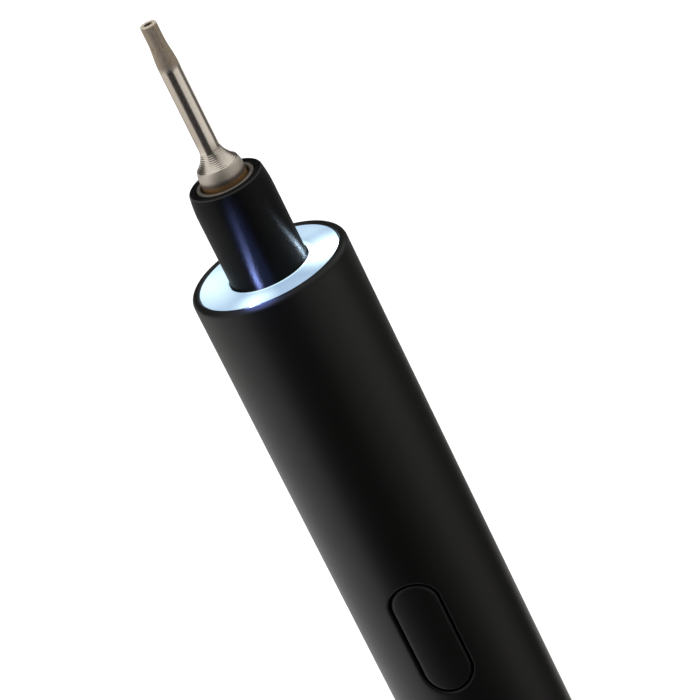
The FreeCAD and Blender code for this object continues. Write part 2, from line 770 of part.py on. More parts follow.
def make_bit():
    corner = "bit_flats / 2 / cos(30 deg)"
    shaft = "bit_shaft_diameter / 2"
    tip = "bit_tip_diameter / 2"
    flare = "bit_flare_diameter / 2"
    tip_start = "bit_tip_z - bit_tip_length"
    shaft_top = tip_start + " - bit_taper_length"
    flare_top = shaft_top + " - bit_shaft_length"
    flare_z = flare_top + " - bit_flare_length"
    bulge_z = flare_z + " - bit_bulge_length"
    flare_arc = f"(({flare} - {shaft})^2 + bit_flare_length^2) / (2 * ({flare} - {shaft}))"
    bulge_arc = f"(({corner} - {flare})^2 + bit_bulge_length^2) / (2 * ({corner} - {flare}))"
    profile = turned(
        "BitTurned",
        ("0", "bit_rear_z"),
        (corner + " - bit_rear_chamfer", "bit_rear_z"),
        (corner, "bit_rear_z + bit_rear_chamfer"),
        (corner, bulge_z, bulge_arc, 1),
        (flare, flare_z, flare_arc, -1),
        (shaft, flare_top),
        (shaft, shaft_top),
        (tip, tip_start),
        (tip, "bit_tip_z - bit_tip_chamfer"),
        (tip + " - bit_tip_chamfer", "bit_tip_z"),
        ("0", "bit_tip_z"))
    hexagon = doc.addObject("Part::Prism", "BitHexagon")
    hexagon.Polygon = 6
    collar_z = "seat_z + bit_collar_gap"
    bind(hexagon, Circumradius=corner, Height=f"{collar_z} - bit_rear_z")
    place(hexagon, z="bit_rear_z")
    collar = rod("BitCollar", "bit_collar_diameter / 2", f"bit_tip_z - ({collar_z})", z=collar_z)
    limits = fused("BitLimits", hexagon, collar)
    flutes = []
    orbit = f"{tip} - bit_flute_depth + bit_flute_diameter / 2"
    for i in range(FLUTES):
        x, y = polar(orbit, 360 / FLUTES * i)
        flutes.append(rod("Flute", "bit_flute_diameter / 2", "bit_tip_length", x, y, tip_start))
        end = doc.addObject("Part::Sphere", "FluteEnd")
        bind(end, Radius="bit_flute_diameter / 2")
        flutes.append(place(end, x, y, tip_start))
    hole = rod("TipHole", "bit_hole_diameter / 2", "bit_hole_depth", z="bit_tip_z - bit_hole_depth")
    node(cut("Bit", common("BitBlank", profile, limits), hole, *flutes), "bit")


# Gearbox


def make_ring_gear():
    low, high = "plate_top_z", "flange_z"
    height = amount(f"{high} - {low}")
    half_pitch = math.pi / RING_TEETH
    backlash = amount("gear_backlash") / 2
    teeth = toothed("RingTeeth", gear_outline(RING_TEETH, DEDENDUM, ADDENDUM, backlash, half_pitch), height,
                    FreeCAD.Vector(0, 0, amount(low)))
    blank = rod("RingBlank", "gearbox_radius", f"{high} - {low}", z=low)
    holes = around("BoltHole", BOLT_ANGLES, "bolt_orbit", "bolt_diameter / 2", f"{high} - {low}", low)
    node(cut("RingGear", blank, teeth, ribbon_groove(low, f"{high} - {low}"), *holes), "ring_gear")


def make_bolts():
    length = "flange_z + bolt_engagement - motor_front_z"
    bolts = []
    for angle in BOLT_ANGLES:
        x, y = polar("bolt_orbit", angle)
        shank = rod("BoltShank", "bolt_diameter / 2", length, x, y, "motor_front_z")
        head = rod("BoltHead", "bolt_head_diameter / 2", "bolt_head_height", x, y,
                   "motor_front_z - bolt_head_height")
        bolts.append(fused("Bolt", shank, head))
    node(grouped("Bolts", bolts), "gearbox_bolts")


def make_stage(stage, z, width, pin_top):
    """Three planets of one stage, and the pins that carry them."""
    bores = around("PlanetBore", PLANET_ANGLES, "planet_orbit", "planet_pin_diameter / 2 + running_fit",
                   width, z)
    for number, (angle, bore) in enumerate(zip(PLANET_ANGLES, bores), start=1):
        spot = on_circle(amount("planet_orbit"), math.radians(angle)) + FreeCAD.Vector(0, 0, amount(z))
        gear = external_gear("PlanetBlank", PLANET_TEETH, math.pi / PLANET_TEETH, amount(width), spot)
        node(cut("Planet", gear, bore), f"{stage}_planet_{number}")
    pins = around("PlanetPin", PLANET_ANGLES, "planet_orbit", "planet_pin_diameter / 2",
                  f"{pin_top} - {z}", z)
    node(grouped("PlanetPins", pins), f"{stage}_pins")
    return pins


def make_output_carrier():
    pins = make_stage("output", "output_planet_z", "output_face_width",
                      "output_plate_z + output_carrier_thickness")
    height = "hub_top_z - output_plate_z"
    plate = rod("OutputPlate", "carrier_radius", "output_carrier_thickness", z="output_plate_z")
    hub = rod("OutputHub", "shaft_radius + output_hub_wall", height, z="output_plate_z")
    bore = cut("OutputBore", rod("ShaftBore", "shaft_radius + press_gap", height, z="output_plate_z"),
               shaft_flat("press_gap"))
    node(cut("OutputCarrier", fused("OutputBlank", plate, hub), bore, *pins), "output_carrier")


def make_input_carrier():
    """The carrier of the motor's stage, with the sun gear of the output stage on it."""
    pins = make_stage("input", "input_planet_z", "input_face_width", "input_plate_top_z")
    plate = rod("InputPlate", "carrier_radius", "input_carrier_thickness", z="input_plate_z")
    sun_height = amount("output_plate_z - planet_side_gap - input_plate_z")
    sun = external_gear("InputSun", SUN_TEETH, 0, sun_height, FreeCAD.Vector(0, 0, amount("input_plate_z")))
    node(cut("InputCarrier", fused("InputBlank", plate, sun), *pins), "input_carrier")


def make_pinion():
    low, high = "plate_top_z + planet_side_gap", "input_plate_z - planet_side_gap"
    gear = external_gear("PinionBlank", SUN_TEETH, 0, amount(f"{high} - ({low})"),
                         FreeCAD.Vector(0, 0, amount(low)))
    bore = rod("PinionBore", "motor_shaft_diameter / 2", f"{high} - ({low})", z=low)
    node(cut("MotorPinion", gear, bore), "motor_pinion")


# Motor


def make_motor_plate():
    disc = tube("PlateDisc", "gearbox_radius", "motor_bush_diameter / 2 + slip_fit", "motor_front_z",
                "plate_top_z")
    bolt_holes = around("BoltHole", BOLT_ANGLES, "bolt_orbit", "bolt_diameter / 2", "motor_plate_thickness",
                        "motor_front_z")
    groove = ribbon_groove("motor_front_z", "motor_plate_thickness")
    screws = [motor_screw(side) for side in (1, -1)]
    node(cut("MotorPlate", disc, groove, *bolt_holes, *screws), "motor_plate")
    node(grouped("MotorScrews", screws), "motor_screws")


def motor_screw(side):
    """A countersunk screw flush with the plate, ending at the inside of the can's front wall."""
    x = f"{side} * motor_screw_spread / 2"
    shank = rod("ScrewShank", "motor_screw_diameter / 2", "motor_plate_thickness + motor_can_wall", x, "0",
                "motor_front_z - motor_can_wall")
    head = cone("ScrewHead", "motor_screw_diameter / 2", "motor_screw_head_diameter / 2",
                "motor_screw_head_height", x, "0", "plate_top_z - motor_screw_head_height")
    return fused("MotorScrew", shank, head)


def make_motor_housing():
    bush = "motor_bush_diameter / 2"
    inside_z = "motor_front_z - motor_can_wall"
    can = turned("CanTurned", (bush, inside_z), ("can_bore_radius", inside_z),
                 ("can_bore_radius", "can_rear_z"), ("core_radius", "can_rear_z"),
                 ("core_radius", "motor_front_z"), (bush, "motor_front_z"))
    holes = [rod("ScrewHole", "motor_screw_diameter / 2", "motor_can_wall",
                 f"{side} * motor_screw_spread / 2", "0", inside_z) for side in (1, -1)]
    node(cut("MotorCan", can, *holes), "motor_can")
    bore = "motor_shaft_diameter / 2 + running_fit"
    node(tube("MotorFrontBush", bush, bore, "boss_top_z - motor_bush_length", "boss_top_z"),
         "motor_front_bush")

    shell = tube("MagnetShell", "can_bore_radius", "can_bore_radius - motor_magnet_thickness",
                 "core_z - motor_magnet_overhang", "core_top_z + motor_magnet_overhang")
    gap = block("MagnetGap", ("motor_magnet_gap", "barrel_diameter", "motor_length"),
                ("-motor_magnet_gap / 2", "-barrel_radius", "motor_rear_z"))
    node(cut("MotorMagnets", shell, gap), "motor_magnets")

    spigot = "can_bore_radius - slip_fit"
    cap = turned("CapTurned", (bush, "motor_rear_z"), ("core_radius", "motor_rear_z"),
                 ("core_radius", "can_rear_z"), (spigot, "can_rear_z"), (spigot, "cap_inner_z"),
                 (bush, "cap_inner_z"))
    node(cap, "motor_end_cap")
    node(tube("MotorRearBush", bush, bore, "motor_rear_z", "cap_inner_z"), "motor_rear_bush")
    reach = "commutator_diameter / 2 + running_fit"
    brushes = []
    terminals = []
    for side in (1, -1):
        left = f"{reach}" if side > 0 else f"-({reach}) - brush_thickness"
        brushes.append(block("Brush", ("brush_thickness", "brush_width", "brush_height"),
                             (left, "-brush_width / 2", "cap_inner_z")))
        terminals.append(block("Terminal", ("terminal_width", "terminal_thickness", "terminal_length"),
                               (f"{side} * terminal_spread / 2 - terminal_width / 2", "-terminal_depth",
                                "motor_rear_z - terminal_length")))
    node(grouped("Brushes", brushes), "motor_brushes")
    node(grouped("Terminals", terminals), "motor_terminals")


def make_rotor():
    axle = "motor_shaft_diameter / 2"
    node(rod("MotorShaft", axle, "input_plate_z - planet_side_gap - motor_rear_z", z="motor_rear_z"),
         "motor_shaft")
    core = tube("CoreDisc", "rotor_radius", axle, "core_z", "core_top_z")
    hub = "rotor_hub_diameter / 2"
    slots = []
    coils = []
    for i in range(ROTOR_SLOTS):
        for bars, overhang in ((slots, "0"), (coils, "winding_overhang")):
            size = (f"rotor_radius - {hub}", "rotor_slot_width", f"core_top_z - core_z + 2 * {overhang}")
            bars.append(radial_block("RotorSlot", 360 / ROTOR_SLOTS * i, hub, size, f"core_z - {overhang}"))
    node(cut("RotorCore", core, *slots), "rotor_core")
    ends = [tube("EndTurns", "rotor_radius - motor_air_gap", axle, low, f"{low} + winding_overhang")
            for low in ("core_z - winding_overhang", "core_top_z")]
    limit = rod("CoilLimit", "rotor_radius - motor_air_gap", "motor_length", z="motor_rear_z")
    node(common("RotorWinding", fused("Coils", *coils, *ends), limit), "rotor_winding")
    node(tube("Commutator", "commutator_diameter / 2", axle, "commutator_z", "commutator_top_z"),
         "commutator")


# Buttons, switches and the main board


def make_button(name, z):
    """A button flush with the barrel, held behind its window by a flange."""
    width = "button_window_width - 2 * button_side_gap"
    length = "button_window_length - 2 * button_side_gap"
    wide = "button_window_width + 2 * button_flange_reach"
    long = "button_window_length + 2 * button_flange_reach"
    floor = "button_flange_radius - button_flange_thickness"
    cap = place(slot_bar("ButtonBar", "XZ_Plane", width, length, "barrel_diameter"), z=z)
    flange = place(slot_bar("FlangeBar", "XZ_Plane", wide, long, "barrel_diameter"), z=z)
    low, high = f"{z} - button_window_length", f"{z} + button_window_length"
    cap_shell = tube("CapShell", "button_radius", floor, low, high)
    flange_shell = tube("FlangeShell", "button_flange_radius", floor, low, high)
    nub = rod("Nub", "button_nub_diameter / 2", f"{floor} - plunger_face + button_flange_thickness / 2",
              "0", f"-({floor}) - button_flange_thickness / 2", z, inward=True)
    button = fused(name, common("ButtonCap", cap, cap_shell),
                   common("ButtonFlange", flange, flange_shell), nub)
    button.Refine = True
    node(button, name)


def make_switch(z):
    """The body of a low push switch on the main board, with a bore for its plunger."""
    body = block("SwitchBody", ("switch_size", "switch_height", "switch_size"),
                 ("-switch_size / 2", "-switch_face", f"{z} - switch_size / 2"))
    bore = rod("SwitchBore", "plunger_diameter / 2 + running_fit", "switch_height", "0", "-switch_face", z,
               inward=True)
    return cut("Switch", body, bore)


def make_controls():
    for name, z in (("forward", "forward_z"), ("reverse", "reverse_z")):
        make_button(name + "_button", z)
        plunger = rod("Plunger", "plunger_diameter / 2",
                      "plunger_face - board_face - button_travel - slip_fit", "0", "-plunger_face", z,
                      inward=True)
        node(plunger, name + "_plunger")
    node(grouped("Switches", [make_switch(z) for z in ("forward_z", "reverse_z")]), "button_switches")


def board_screw(side, z):
    x = f"{side} * board_screw_spread / 2"
    shank = rod("BoardShank", "board_screw_diameter / 2", "board_thickness + board_screw_grip", x,
                "-board_face", z, inward=True)
    head = rod("BoardHead", "board_screw_head_diameter / 2", "board_screw_head_height", x,
               "-board_face - board_screw_head_height", z, inward=True)
    return fused("BoardScrew", shank, head)


def make_frame_and_board():
    height = "frame_top_z - frame_z"
    shell = tube("FrameTube", "bore_radius - frame_gap", "frame_bore_radius", "frame_z", "frame_top_z")
    bed = block("BoardBed", ("board_width + 2 * frame_gap", "barrel_radius", height),
                ("-board_width / 2 - frame_gap", "-board_back - barrel_radius", "frame_z"))
    channel = block("FrameChannel", ("frame_channel_width", "barrel_radius", height),
                    ("-frame_channel_width / 2", "-barrel_radius", "frame_z"))
    edge = "2 * board_screw_head_diameter"
    screws = [board_screw(1, f"board_z + {edge}"), board_screw(-1, f"board_top_z - {edge}")]
    node(cut("InnerFrame", shell, bed, channel, *screws), "inner_frame")
    board = block("BoardBlank", ("board_width", "board_thickness", "board_top_z - board_z"),
                  ("-board_width / 2", "-board_face", "board_z"))
    node(cut("MainBoard", board, *screws), "main_board")
    node(grouped("BoardScrews", screws), "board_screws")
    chips = [block("Chip", ("chip_width", "chip_height", "chip_width"),
                   ("-chip_width / 2", "-board_face - chip_height",
                    f"reverse_z - button_window_length - {i} * chip_pitch")) for i in range(CHIPS)]
    node(grouped("Chips", chips), "board_chips")


# Battery and leads


def make_battery():
    nub = "battery_nub_diameter / 2"
    shoulder = "battery_top_z - battery_nub_height"
    cell = turned("Battery", ("0", "battery_z"), ("core_radius", "battery_z"), ("core_radius", shoulder),
                  (nub, shoulder), (nub, "battery_top_z"), ("0", "battery_top_z"))
    rounded(cell, "battery_edge_round", ("core_radius", "battery_z"), ("core_radius", shoulder))
    node(cell, "battery_cell")
    tabs = []
    for z, leg_z in (("battery_z - tab_thickness", "battery_z - tab_lap"),
                     ("battery_top_z", "battery_top_z")):
        plate = block("TabPlate", ("tab_width", "board_back + tab_width / 2", "tab_thickness"),
                      ("-tab_width / 2", "-board_back", z))
        leg = block("TabLeg", ("tab_width", "tab_thickness", "tab_lap"),
                    ("-tab_width / 2", "-board_back", leg_z))
        tabs.append(fused("Tab", plate, leg))
    node(grouped("Tabs", tabs), "battery_tabs")


def make_motor_leads():
    """Two wires from the motor's terminals, bent across to the back of the main board."""
    radius = amount("lead_diameter / 2")
    bend = amount("lead_bend_radius")
    y = -amount("terminal_depth - terminal_thickness / 2")
    start = amount("motor_rear_z - terminal_length")
    board = -amount("board_back")
    wires = []
    for side in (1, -1):
        x = side * amount("terminal_spread / 2")
        corner = bend * math.sqrt(0.5)
        arc = Part.Arc(FreeCAD.Vector(x, y, start), FreeCAD.Vector(x, y - bend + corner, start - corner),
                       FreeCAD.Vector(x, y - bend, start - bend))
        run = Part.LineSegment(FreeCAD.Vector(x, y - bend, start - bend),
                               FreeCAD.Vector(x, board, start - bend))
        path = Part.Wire([arc.toShape(), run.toShape()])
        section = Part.Wire(Part.makeCircle(radius, FreeCAD.Vector(x, y, start), FreeCAD.Vector(0, 0, 1)))
        wires.append(path.makePipeShell([section], True, False))
    leads = doc.addObject("Part::Feature", "MotorLeads")
    leads.Shape = Part.makeCompound(wires)
    node(leads, "motor_leads")


# Charging socket


def flat_bar(name, width, height, depth, z):
    """A rounded bar lying across the tail, with its long side along X."""
    bar = slot_bar(name, "XY_Plane", height, width, depth)
    bar.Placement.Rotation = FreeCAD.Rotation(FreeCAD.Vector(0, 0, 1), 90)
    return place(bar, z=z)


def make_charging_socket():
    inside_width = "usb_width - 2 * usb_wall"
    inside_height = "usb_height - 2 * usb_wall"
    outside = flat_bar("UsbOutside", "usb_width", "usb_height", "usb_depth", "usb_recess")
    inside = flat_bar("UsbInside", inside_width, inside_height, "usb_depth", "usb_recess")
    node(cut("UsbShell", outside, inside), "usb_shell")
    block_z = "usb_rear_z - usb_block_depth"
    rear = flat_bar("UsbBlock", f"{inside_width} - 2 * press_gap", f"{inside_height} - 2 * press_gap",
                    "usb_block_depth", block_z)
    blade = block("UsbBlade", ("usb_tongue_width", "usb_tongue_thickness", "usb_tongue_length"),
                  ("-usb_tongue_width / 2", "-usb_tongue_thickness / 2", f"{block_z} - usb_tongue_length"))
    node(fused("UsbTongue", rear, blade), "usb_tongue")
    contacts = []
    for y in ("usb_tongue_thickness / 2", "-usb_tongue_thickness / 2 - usb_contact_thickness"):
        for i in range(CONTACTS_PER_SIDE):
            offset = i - (CONTACTS_PER_SIDE - 1) / 2
            contacts.append(block("UsbContact", ("usb_contact_width", "usb_contact_thickness",
                                                 "usb_contact_length"),
                                  (f"{offset} * usb_contact_pitch - usb_contact_width / 2", y,
                                   f"{block_z} - usb_contact_length")))
    node(grouped("UsbContacts", contacts), "usb_contacts")
    blank = block("UsbBoardBlank", ("2 * core_radius", "board_thickness", "usb_board_length"),
                  ("-core_radius", "-board_thickness / 2", "tail_cap_floor"))
    notch = block("UsbNotch", ("usb_width + 2 * slip_fit", "board_thickness",
                               "usb_rear_z + slip_fit - tail_cap_floor"),
                  ("-usb_width / 2 - slip_fit", "-board_thickness / 2", "tail_cap_floor"))
    node(cut("UsbBoard", blank, notch), "usb_board")


make_barrel()
make_tail_cap()
make_nose()
make_light_ring()
make_led_ribbon()
make_spindle()
make_bearing()
make_bit()
make_ring_gear()
make_bolts()
make_output_carrier()
make_input_carrier()
make_pinion()
make_motor_plate()
make_motor_housing()
make_rotor()
make_controls()
make_frame_and_board()
make_battery()
make_motor_leads()
make_charging_socket()
doc.removeObject("Reading")
doc.recompute()

for item in doc.Objects:
    if "Invalid" in item.State or "Error" in item.State:
        raise RuntimeError(f"{item.Label} was not built: {item.State}")
for item in nodes:
    if item.Shape.isNull() or not item.Shape.isValid():
        raise RuntimeError(f"{item.Label} has no valid shape")

os.makedirs("parts", exist_ok=True)
for item in nodes:
    item.Shape.exportStep(f"parts/{item.Label}.step")
print(len(nodes), "sub-parts written")
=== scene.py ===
import json
from math import asin, atan, atan2, cos, dist, inf, pi, radians, sin, sqrt, tan

import bmesh
import bpy
from mathutils import Matrix, Vector


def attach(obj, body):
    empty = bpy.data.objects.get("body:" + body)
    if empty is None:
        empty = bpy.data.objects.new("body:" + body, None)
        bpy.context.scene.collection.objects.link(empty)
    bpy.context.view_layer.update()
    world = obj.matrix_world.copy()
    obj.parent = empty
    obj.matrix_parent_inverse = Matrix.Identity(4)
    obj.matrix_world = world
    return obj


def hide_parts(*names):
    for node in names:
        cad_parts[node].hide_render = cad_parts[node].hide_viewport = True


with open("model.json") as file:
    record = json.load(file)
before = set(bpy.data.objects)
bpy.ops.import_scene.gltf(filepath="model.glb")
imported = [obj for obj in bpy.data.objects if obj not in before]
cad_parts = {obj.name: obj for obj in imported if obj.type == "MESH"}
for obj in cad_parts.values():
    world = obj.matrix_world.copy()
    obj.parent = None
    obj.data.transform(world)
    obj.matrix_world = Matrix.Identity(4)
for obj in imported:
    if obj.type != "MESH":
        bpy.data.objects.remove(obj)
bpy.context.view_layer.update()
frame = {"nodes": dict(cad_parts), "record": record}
scene = bpy.context.scene
scene.view_settings.view_transform = "Standard"

# Lengths are in millimetres until a mesh is made. The axis is Z and the buttons face -Y.
MM = 0.001
WELD = 2e-7
CREASE = 32
EDGE_STEPS = 6
ARC_STEPS = 10
RING_PLANE = 124.0


# Mesh tools


def linked(name, data):
    piece = bpy.data.objects.new(name, data)
    scene.collection.objects.link(piece)
    return piece


def built(name, points, edges=(), faces=()):
    """A piece from points in metres."""
    mesh = bpy.data.meshes.new(name)
    mesh.from_pydata(points, edges, faces)
    return linked(name, mesh)


def settle(mesh, crease=CREASE):
    """Weld a mesh, turn its faces outwards and shade it smooth between its creases."""
    work = bmesh.new()
    work.from_mesh(mesh)
    bmesh.ops.remove_doubles(work, verts=work.verts, dist=WELD)
    bmesh.ops.recalc_face_normals(work, faces=work.faces)
    work.to_mesh(mesh)
    work.free()
    mesh.shade_smooth()
    mesh.set_sharp_from_angle(angle=radians(crease))


def from_faces(name, faces, crease=CREASE):
    """A piece from faces given by their corners in millimetres."""
    points = [Vector(corner) * MM for face in faces for corner in face]
    numbers = iter(range(len(points)))
    piece = built(name, points, faces=[[next(numbers) for _ in face] for face in faces])
    settle(piece.data, crease)
    return piece


def band(first, second):
    """Faces between two closed rings; a ring of one point is the tip of a fan."""
    count = max(len(first), len(second))
    faces = []
    for i in range(count):
        ends = [i, (i + 1) % count]
        corners = [first[end % len(first)] for end in ends]
        corners += [second[end % len(second)] for end in reversed(ends)]
        faces.append(list(dict.fromkeys(corners)))
    return faces


def skin(rings, loop=False):
    """Faces over a row of rings; a loop joins the last ring to the first."""
    following = rings[1:] + rings[:1] if loop else rings[1:]
    return [face for first, second in zip(rings, following) for face in band(first, second)]


def stepped(start, end, count):
    """Even steps from start to end, both of them included."""
    return [start + (end - start) * i / count for i in range(count + 1)]


def arc(start, end, centre, steps):
    """Points of the short arc from start to end about a centre, without its start."""
    first = atan2(start[1] - centre[1], start[0] - centre[0])
    sweep = atan2(end[1] - centre[1], end[0] - centre[0]) - first
    sweep = (sweep + pi) % (2 * pi) - pi
    radius = dist(start, centre)
    angles = stepped(first, first + sweep, steps)[1:]
    return [(centre[0] + radius * cos(a), centre[1] + radius * sin(a)) for a in angles]


def leaning(start, end, steps):
    """An arc that leaves its start along the axis and leans in to its end, without its start."""
    drop = start[0] - end[0]
    radius = (drop ** 2 + (end[1] - start[1]) ** 2) / (2 * drop)
    return arc(start, end, (start[0] - radius, start[1]), steps)


def eased(corners, steps=5):
    """A closed outline from corners (x, y, rounding radius), each corner rounded by its radius."""
    outline = []
    for i, (x, y, radius) in enumerate(corners):
        here = Vector((x, y))
        if not radius:
            outline.append((x, y))
            continue
        back = (Vector(corners[i - 1][:2]) - here).normalized()
        ahead = (Vector(corners[(i + 1) % len(corners)][:2]) - here).normalized()
        half = back.angle(ahead) / 2
        start = here + back * (radius / tan(half))
        end = here + ahead * (radius / tan(half))
        centre = here + (back + ahead).normalized() * (radius / sin(half))
        outline.append(tuple(start))
        outline.extend(arc(tuple(start), tuple(end), tuple(centre), steps))
    return outline


def rounding(radius):
    """Steps over a rounded edge: how far each lies from the side and from the top."""
    turns = stepped(0, pi / 2, EDGE_STEPS)
    return [(radius * (1 - sin(turn)), radius * (1 - cos(turn))) for turn in turns]


def soft_share(share):
    """A share of a way, eased at both ends."""
    return share * share * (3 - 2 * share)


def polar(radius, turn):
    return radius * cos(turn), radius * sin(turn)


def from_front(radius, turn):
    """A point about the axis, turned from the buttons' side."""
    return radius * sin(turn), -radius * cos(turn)


def circle(radius, z, count):
    return [(*polar(radius, 2 * pi * i / count), z) for i in range(count)]


def track_point(share, run, radius):
    """A point at a share of a running track's length, from the middle of its right side."""
    if share >= 0.5:
        x, y = track_point(share - 0.5, run, radius)
        return -x, -y
    bend = pi * radius
    way = share * (4 * run + 2 * bend)
    if way < run:
        return radius, way
    if way < run + bend:
        x, y = polar(radius, (way - run) / radius)
        return x, run + y
    return -radius, 2 * run + bend - way


def track(count, run, radius, grow=0.0):
    """A running track of a fixed count of points, grown outwards by a width."""
    points = []
    for i in range(count):
        x, y = track_point(i / count, run, radius)
        outwards = Vector((x, y - max(-run, min(run, y)))).normalized()
        points.append(tuple(Vector((x, y)) + outwards * grow))
    return points


def on_barrel(points, radius, height):
    """Points across and along the barrel, put on a cylinder on the button side."""
    return [(x, -sqrt(radius ** 2 - x ** 2), height + y) for x, y in points]


def mixed(first, second, share):
    return [tuple(Vector(a).lerp(Vector(b), share)) for a, b in zip(first, second)]


def ring_spot(angle, distance, rise=0.0):
    """A spot at the light ring, in metres, from its angle and distance about the axis."""
    x, y = polar(distance, radians(angle))
    return x * MM, y * MM, (RING_PLANE + rise) * MM


def evaluated(piece):
    """Turn a piece's modifiers into its own plain mesh."""
    depsgraph = bpy.context.evaluated_depsgraph_get()
    mesh = bpy.data.meshes.new_from_object(piece.evaluated_get(depsgraph))
    piece.modifiers.clear()
    piece.data = mesh


# Node tools


def feed(tree, node, values):
    """Link or write a node's inputs. A node stands for its first output."""
    for label, value in values.items():
        if isinstance(value, bpy.types.Node):
            value = value.outputs[0]
        if isinstance(value, bpy.types.NodeSocket):
            tree.links.new(value, node.inputs[label])
        else:
            node.inputs[label].default_value = value


def add_node(tree, kind, values, operation=None):
    node = tree.nodes.new(kind)
    if operation:
        node.operation = operation
    feed(tree, node, values)
    return node


def math_node(tree, operation, first, second=0.0):
    return add_node(tree, "ShaderNodeMath", {0: first, 1: second}, operation).outputs["Value"]


def product(tree, first, second):
    return math_node(tree, "MULTIPLY", first, second)


def vector_node(tree, operation, first, second=(0, 0, 0), result="Vector"):
    return add_node(tree, "ShaderNodeVectorMath", {0: first, 1: second}, operation).outputs[result]


def ranged(tree, value, low, high, new_low=0.0, new_high=1.0, smooth=True):
    """A value taken from one range to another, with soft ends or straight."""
    node = tree.nodes.new("ShaderNodeMapRange")
    node.interpolation_type = "SMOOTHSTEP" if smooth else "LINEAR"
    feed(tree, node, {"Value": value, "From Min": low, "From Max": high,
                      "To Min": new_low, "To Max": new_high})
    return node.outputs["Result"]


def between(tree, value, start, end):
    """From nothing at the start to full at the end, both given in millimetres."""
    return ranged(tree, value, start * MM, end * MM)


def blended(tree, share, first, second):
    return ranged(tree, share, 0.0, 1.0, first, second, smooth=False)


def object_place(tree):
    return tree.nodes.new("ShaderNodeTexCoord").outputs["Object"]


def parts_of(tree, place):
    """The parts of a place along X, Y and Z."""
    return add_node(tree, "ShaderNodeSeparateXYZ", {"Vector": place}).outputs


def from_axis(tree, place):
    """Distance from the screwdriver's axis."""
    return vector_node(tree, "LENGTH", vector_node(tree, "MULTIPLY", place, (1, 1, 0)), result="Value")


def noise(tree, place, scale, detail=2.0):
    """A noise over the piece; scale is a number or a socket."""
    texture = add_node(tree, "ShaderNodeTexNoise", {"Vector": place, "Scale": scale, "Detail": detail})
    return texture.outputs["Fac"]


# Geometry node trees

BALL_SEGMENTS = 32
BALL_RINGS = 16
WIRE_SIDES = 8


def node_tree(name, inputs):
    """A tree of geometry nodes and the sockets of its named inputs."""
    tree = bpy.data.node_groups.new(name, "GeometryNodeTree")
    for label, kind in {**inputs, "Material": "Material"}.items():
        tree.interface.new_socket(label, in_out="INPUT", socket_type="NodeSocket" + kind)
    tree.interface.new_socket("Piece", in_out="OUTPUT", socket_type="NodeSocketGeometry")
    return tree, tree.nodes.new("NodeGroupInput").outputs


def close_tree(tree, given, geometry):
    """End a tree: its instances are made real and painted."""
    real = add_node(tree, "GeometryNodeRealizeInstances", {"Geometry": geometry})
    painted = add_node(tree, "GeometryNodeSetMaterial", {"Geometry": real, "Material": given["Material"]})
    add_node(tree, "NodeGroupOutput", {"Piece": painted})
    return tree


def run_tree(piece, tree, node, **values):
    """Give a piece the tree's result as its mesh; values name the tree's inputs."""
    values["material"] = FINISHES[SLOT_OF[node]]
    modifier = piece.modifiers.new("making", "NODES")
    modifier.node_group = tree
    for item in tree.interface.items_tree:
        key = item.name.lower().replace(" ", "_")
        if item.in_out == "INPUT" and key in values:
            modifier[item.identifier] = values[key]
    evaluated(piece)
    settle(piece.data)
    return piece


def turning_tree():
    """Turns a closed profile about the axis. The profile lies across a round path."""
    tree, given = node_tree("turned_piece", {"Profile": "Geometry", "Segments": "Int",
                                             "Path Radius": "Float"})
    outline = add_node(tree, "GeometryNodeMeshToCurve", {"Mesh": given["Profile"]})
    path = add_node(tree, "GeometryNodeCurvePrimitiveCircle",
                    {"Resolution": given["Segments"], "Radius": given["Path Radius"]})
    sweep = add_node(tree, "GeometryNodeCurveToMesh", {"Curve": path, "Profile Curve": outline})
    return close_tree(tree, given, sweep)


def ball_tree():
    """Equal balls on a circle about the axis."""
    tree, given = node_tree("ball_row", {"Balls": "Int", "Orbit": "Float", "Ball Radius": "Float",
                                         "Height": "Float", "Turn": "Float"})
    ring = add_node(tree, "GeometryNodeMeshCircle", {"Vertices": given["Balls"], "Radius": given["Orbit"]})
    ball = add_node(tree, "GeometryNodeMeshUVSphere",
                    {"Segments": BALL_SEGMENTS, "Rings": BALL_RINGS, "Radius": given["Ball Radius"]})
    spread = add_node(tree, "GeometryNodeInstanceOnPoints", {"Points": ring, "Instance": ball})
    lift = add_node(tree, "ShaderNodeCombineXYZ", {"Z": given["Height"]})
    spin = add_node(tree, "ShaderNodeCombineXYZ", {"Z": given["Turn"]})
    move = add_node(tree, "GeometryNodeTransform",
                    {"Geometry": spread, "Translation": lift, "Rotation": spin})
    return close_tree(tree, given, move)


def contact_tree():
    """A row of contact fingers on each face of the tongue, from one finger."""
    tree, given = node_tree("contact_rows", {"Finger": "Geometry", "Fingers": "Int", "Pitch": "Float",
                                             "Start": "Float"})
    step = add_node(tree, "ShaderNodeCombineXYZ", {"X": given["Pitch"]})
    first = add_node(tree, "ShaderNodeCombineXYZ", {"X": given["Start"]})
    row = add_node(tree, "GeometryNodeMeshLine",
                   {"Count": given["Fingers"], "Offset": step, "Start Location": first})
    spread = add_node(tree, "GeometryNodeInstanceOnPoints", {"Points": row, "Instance": given["Finger"]})
    opposite = add_node(tree, "GeometryNodeTransform", {"Geometry": spread, "Rotation": (0, 0, pi)})
    both = add_node(tree, "GeometryNodeJoinGeometry", {"Geometry": spread})
    feed(tree, both, {"Geometry": opposite})
    return close_tree(tree, given, both)


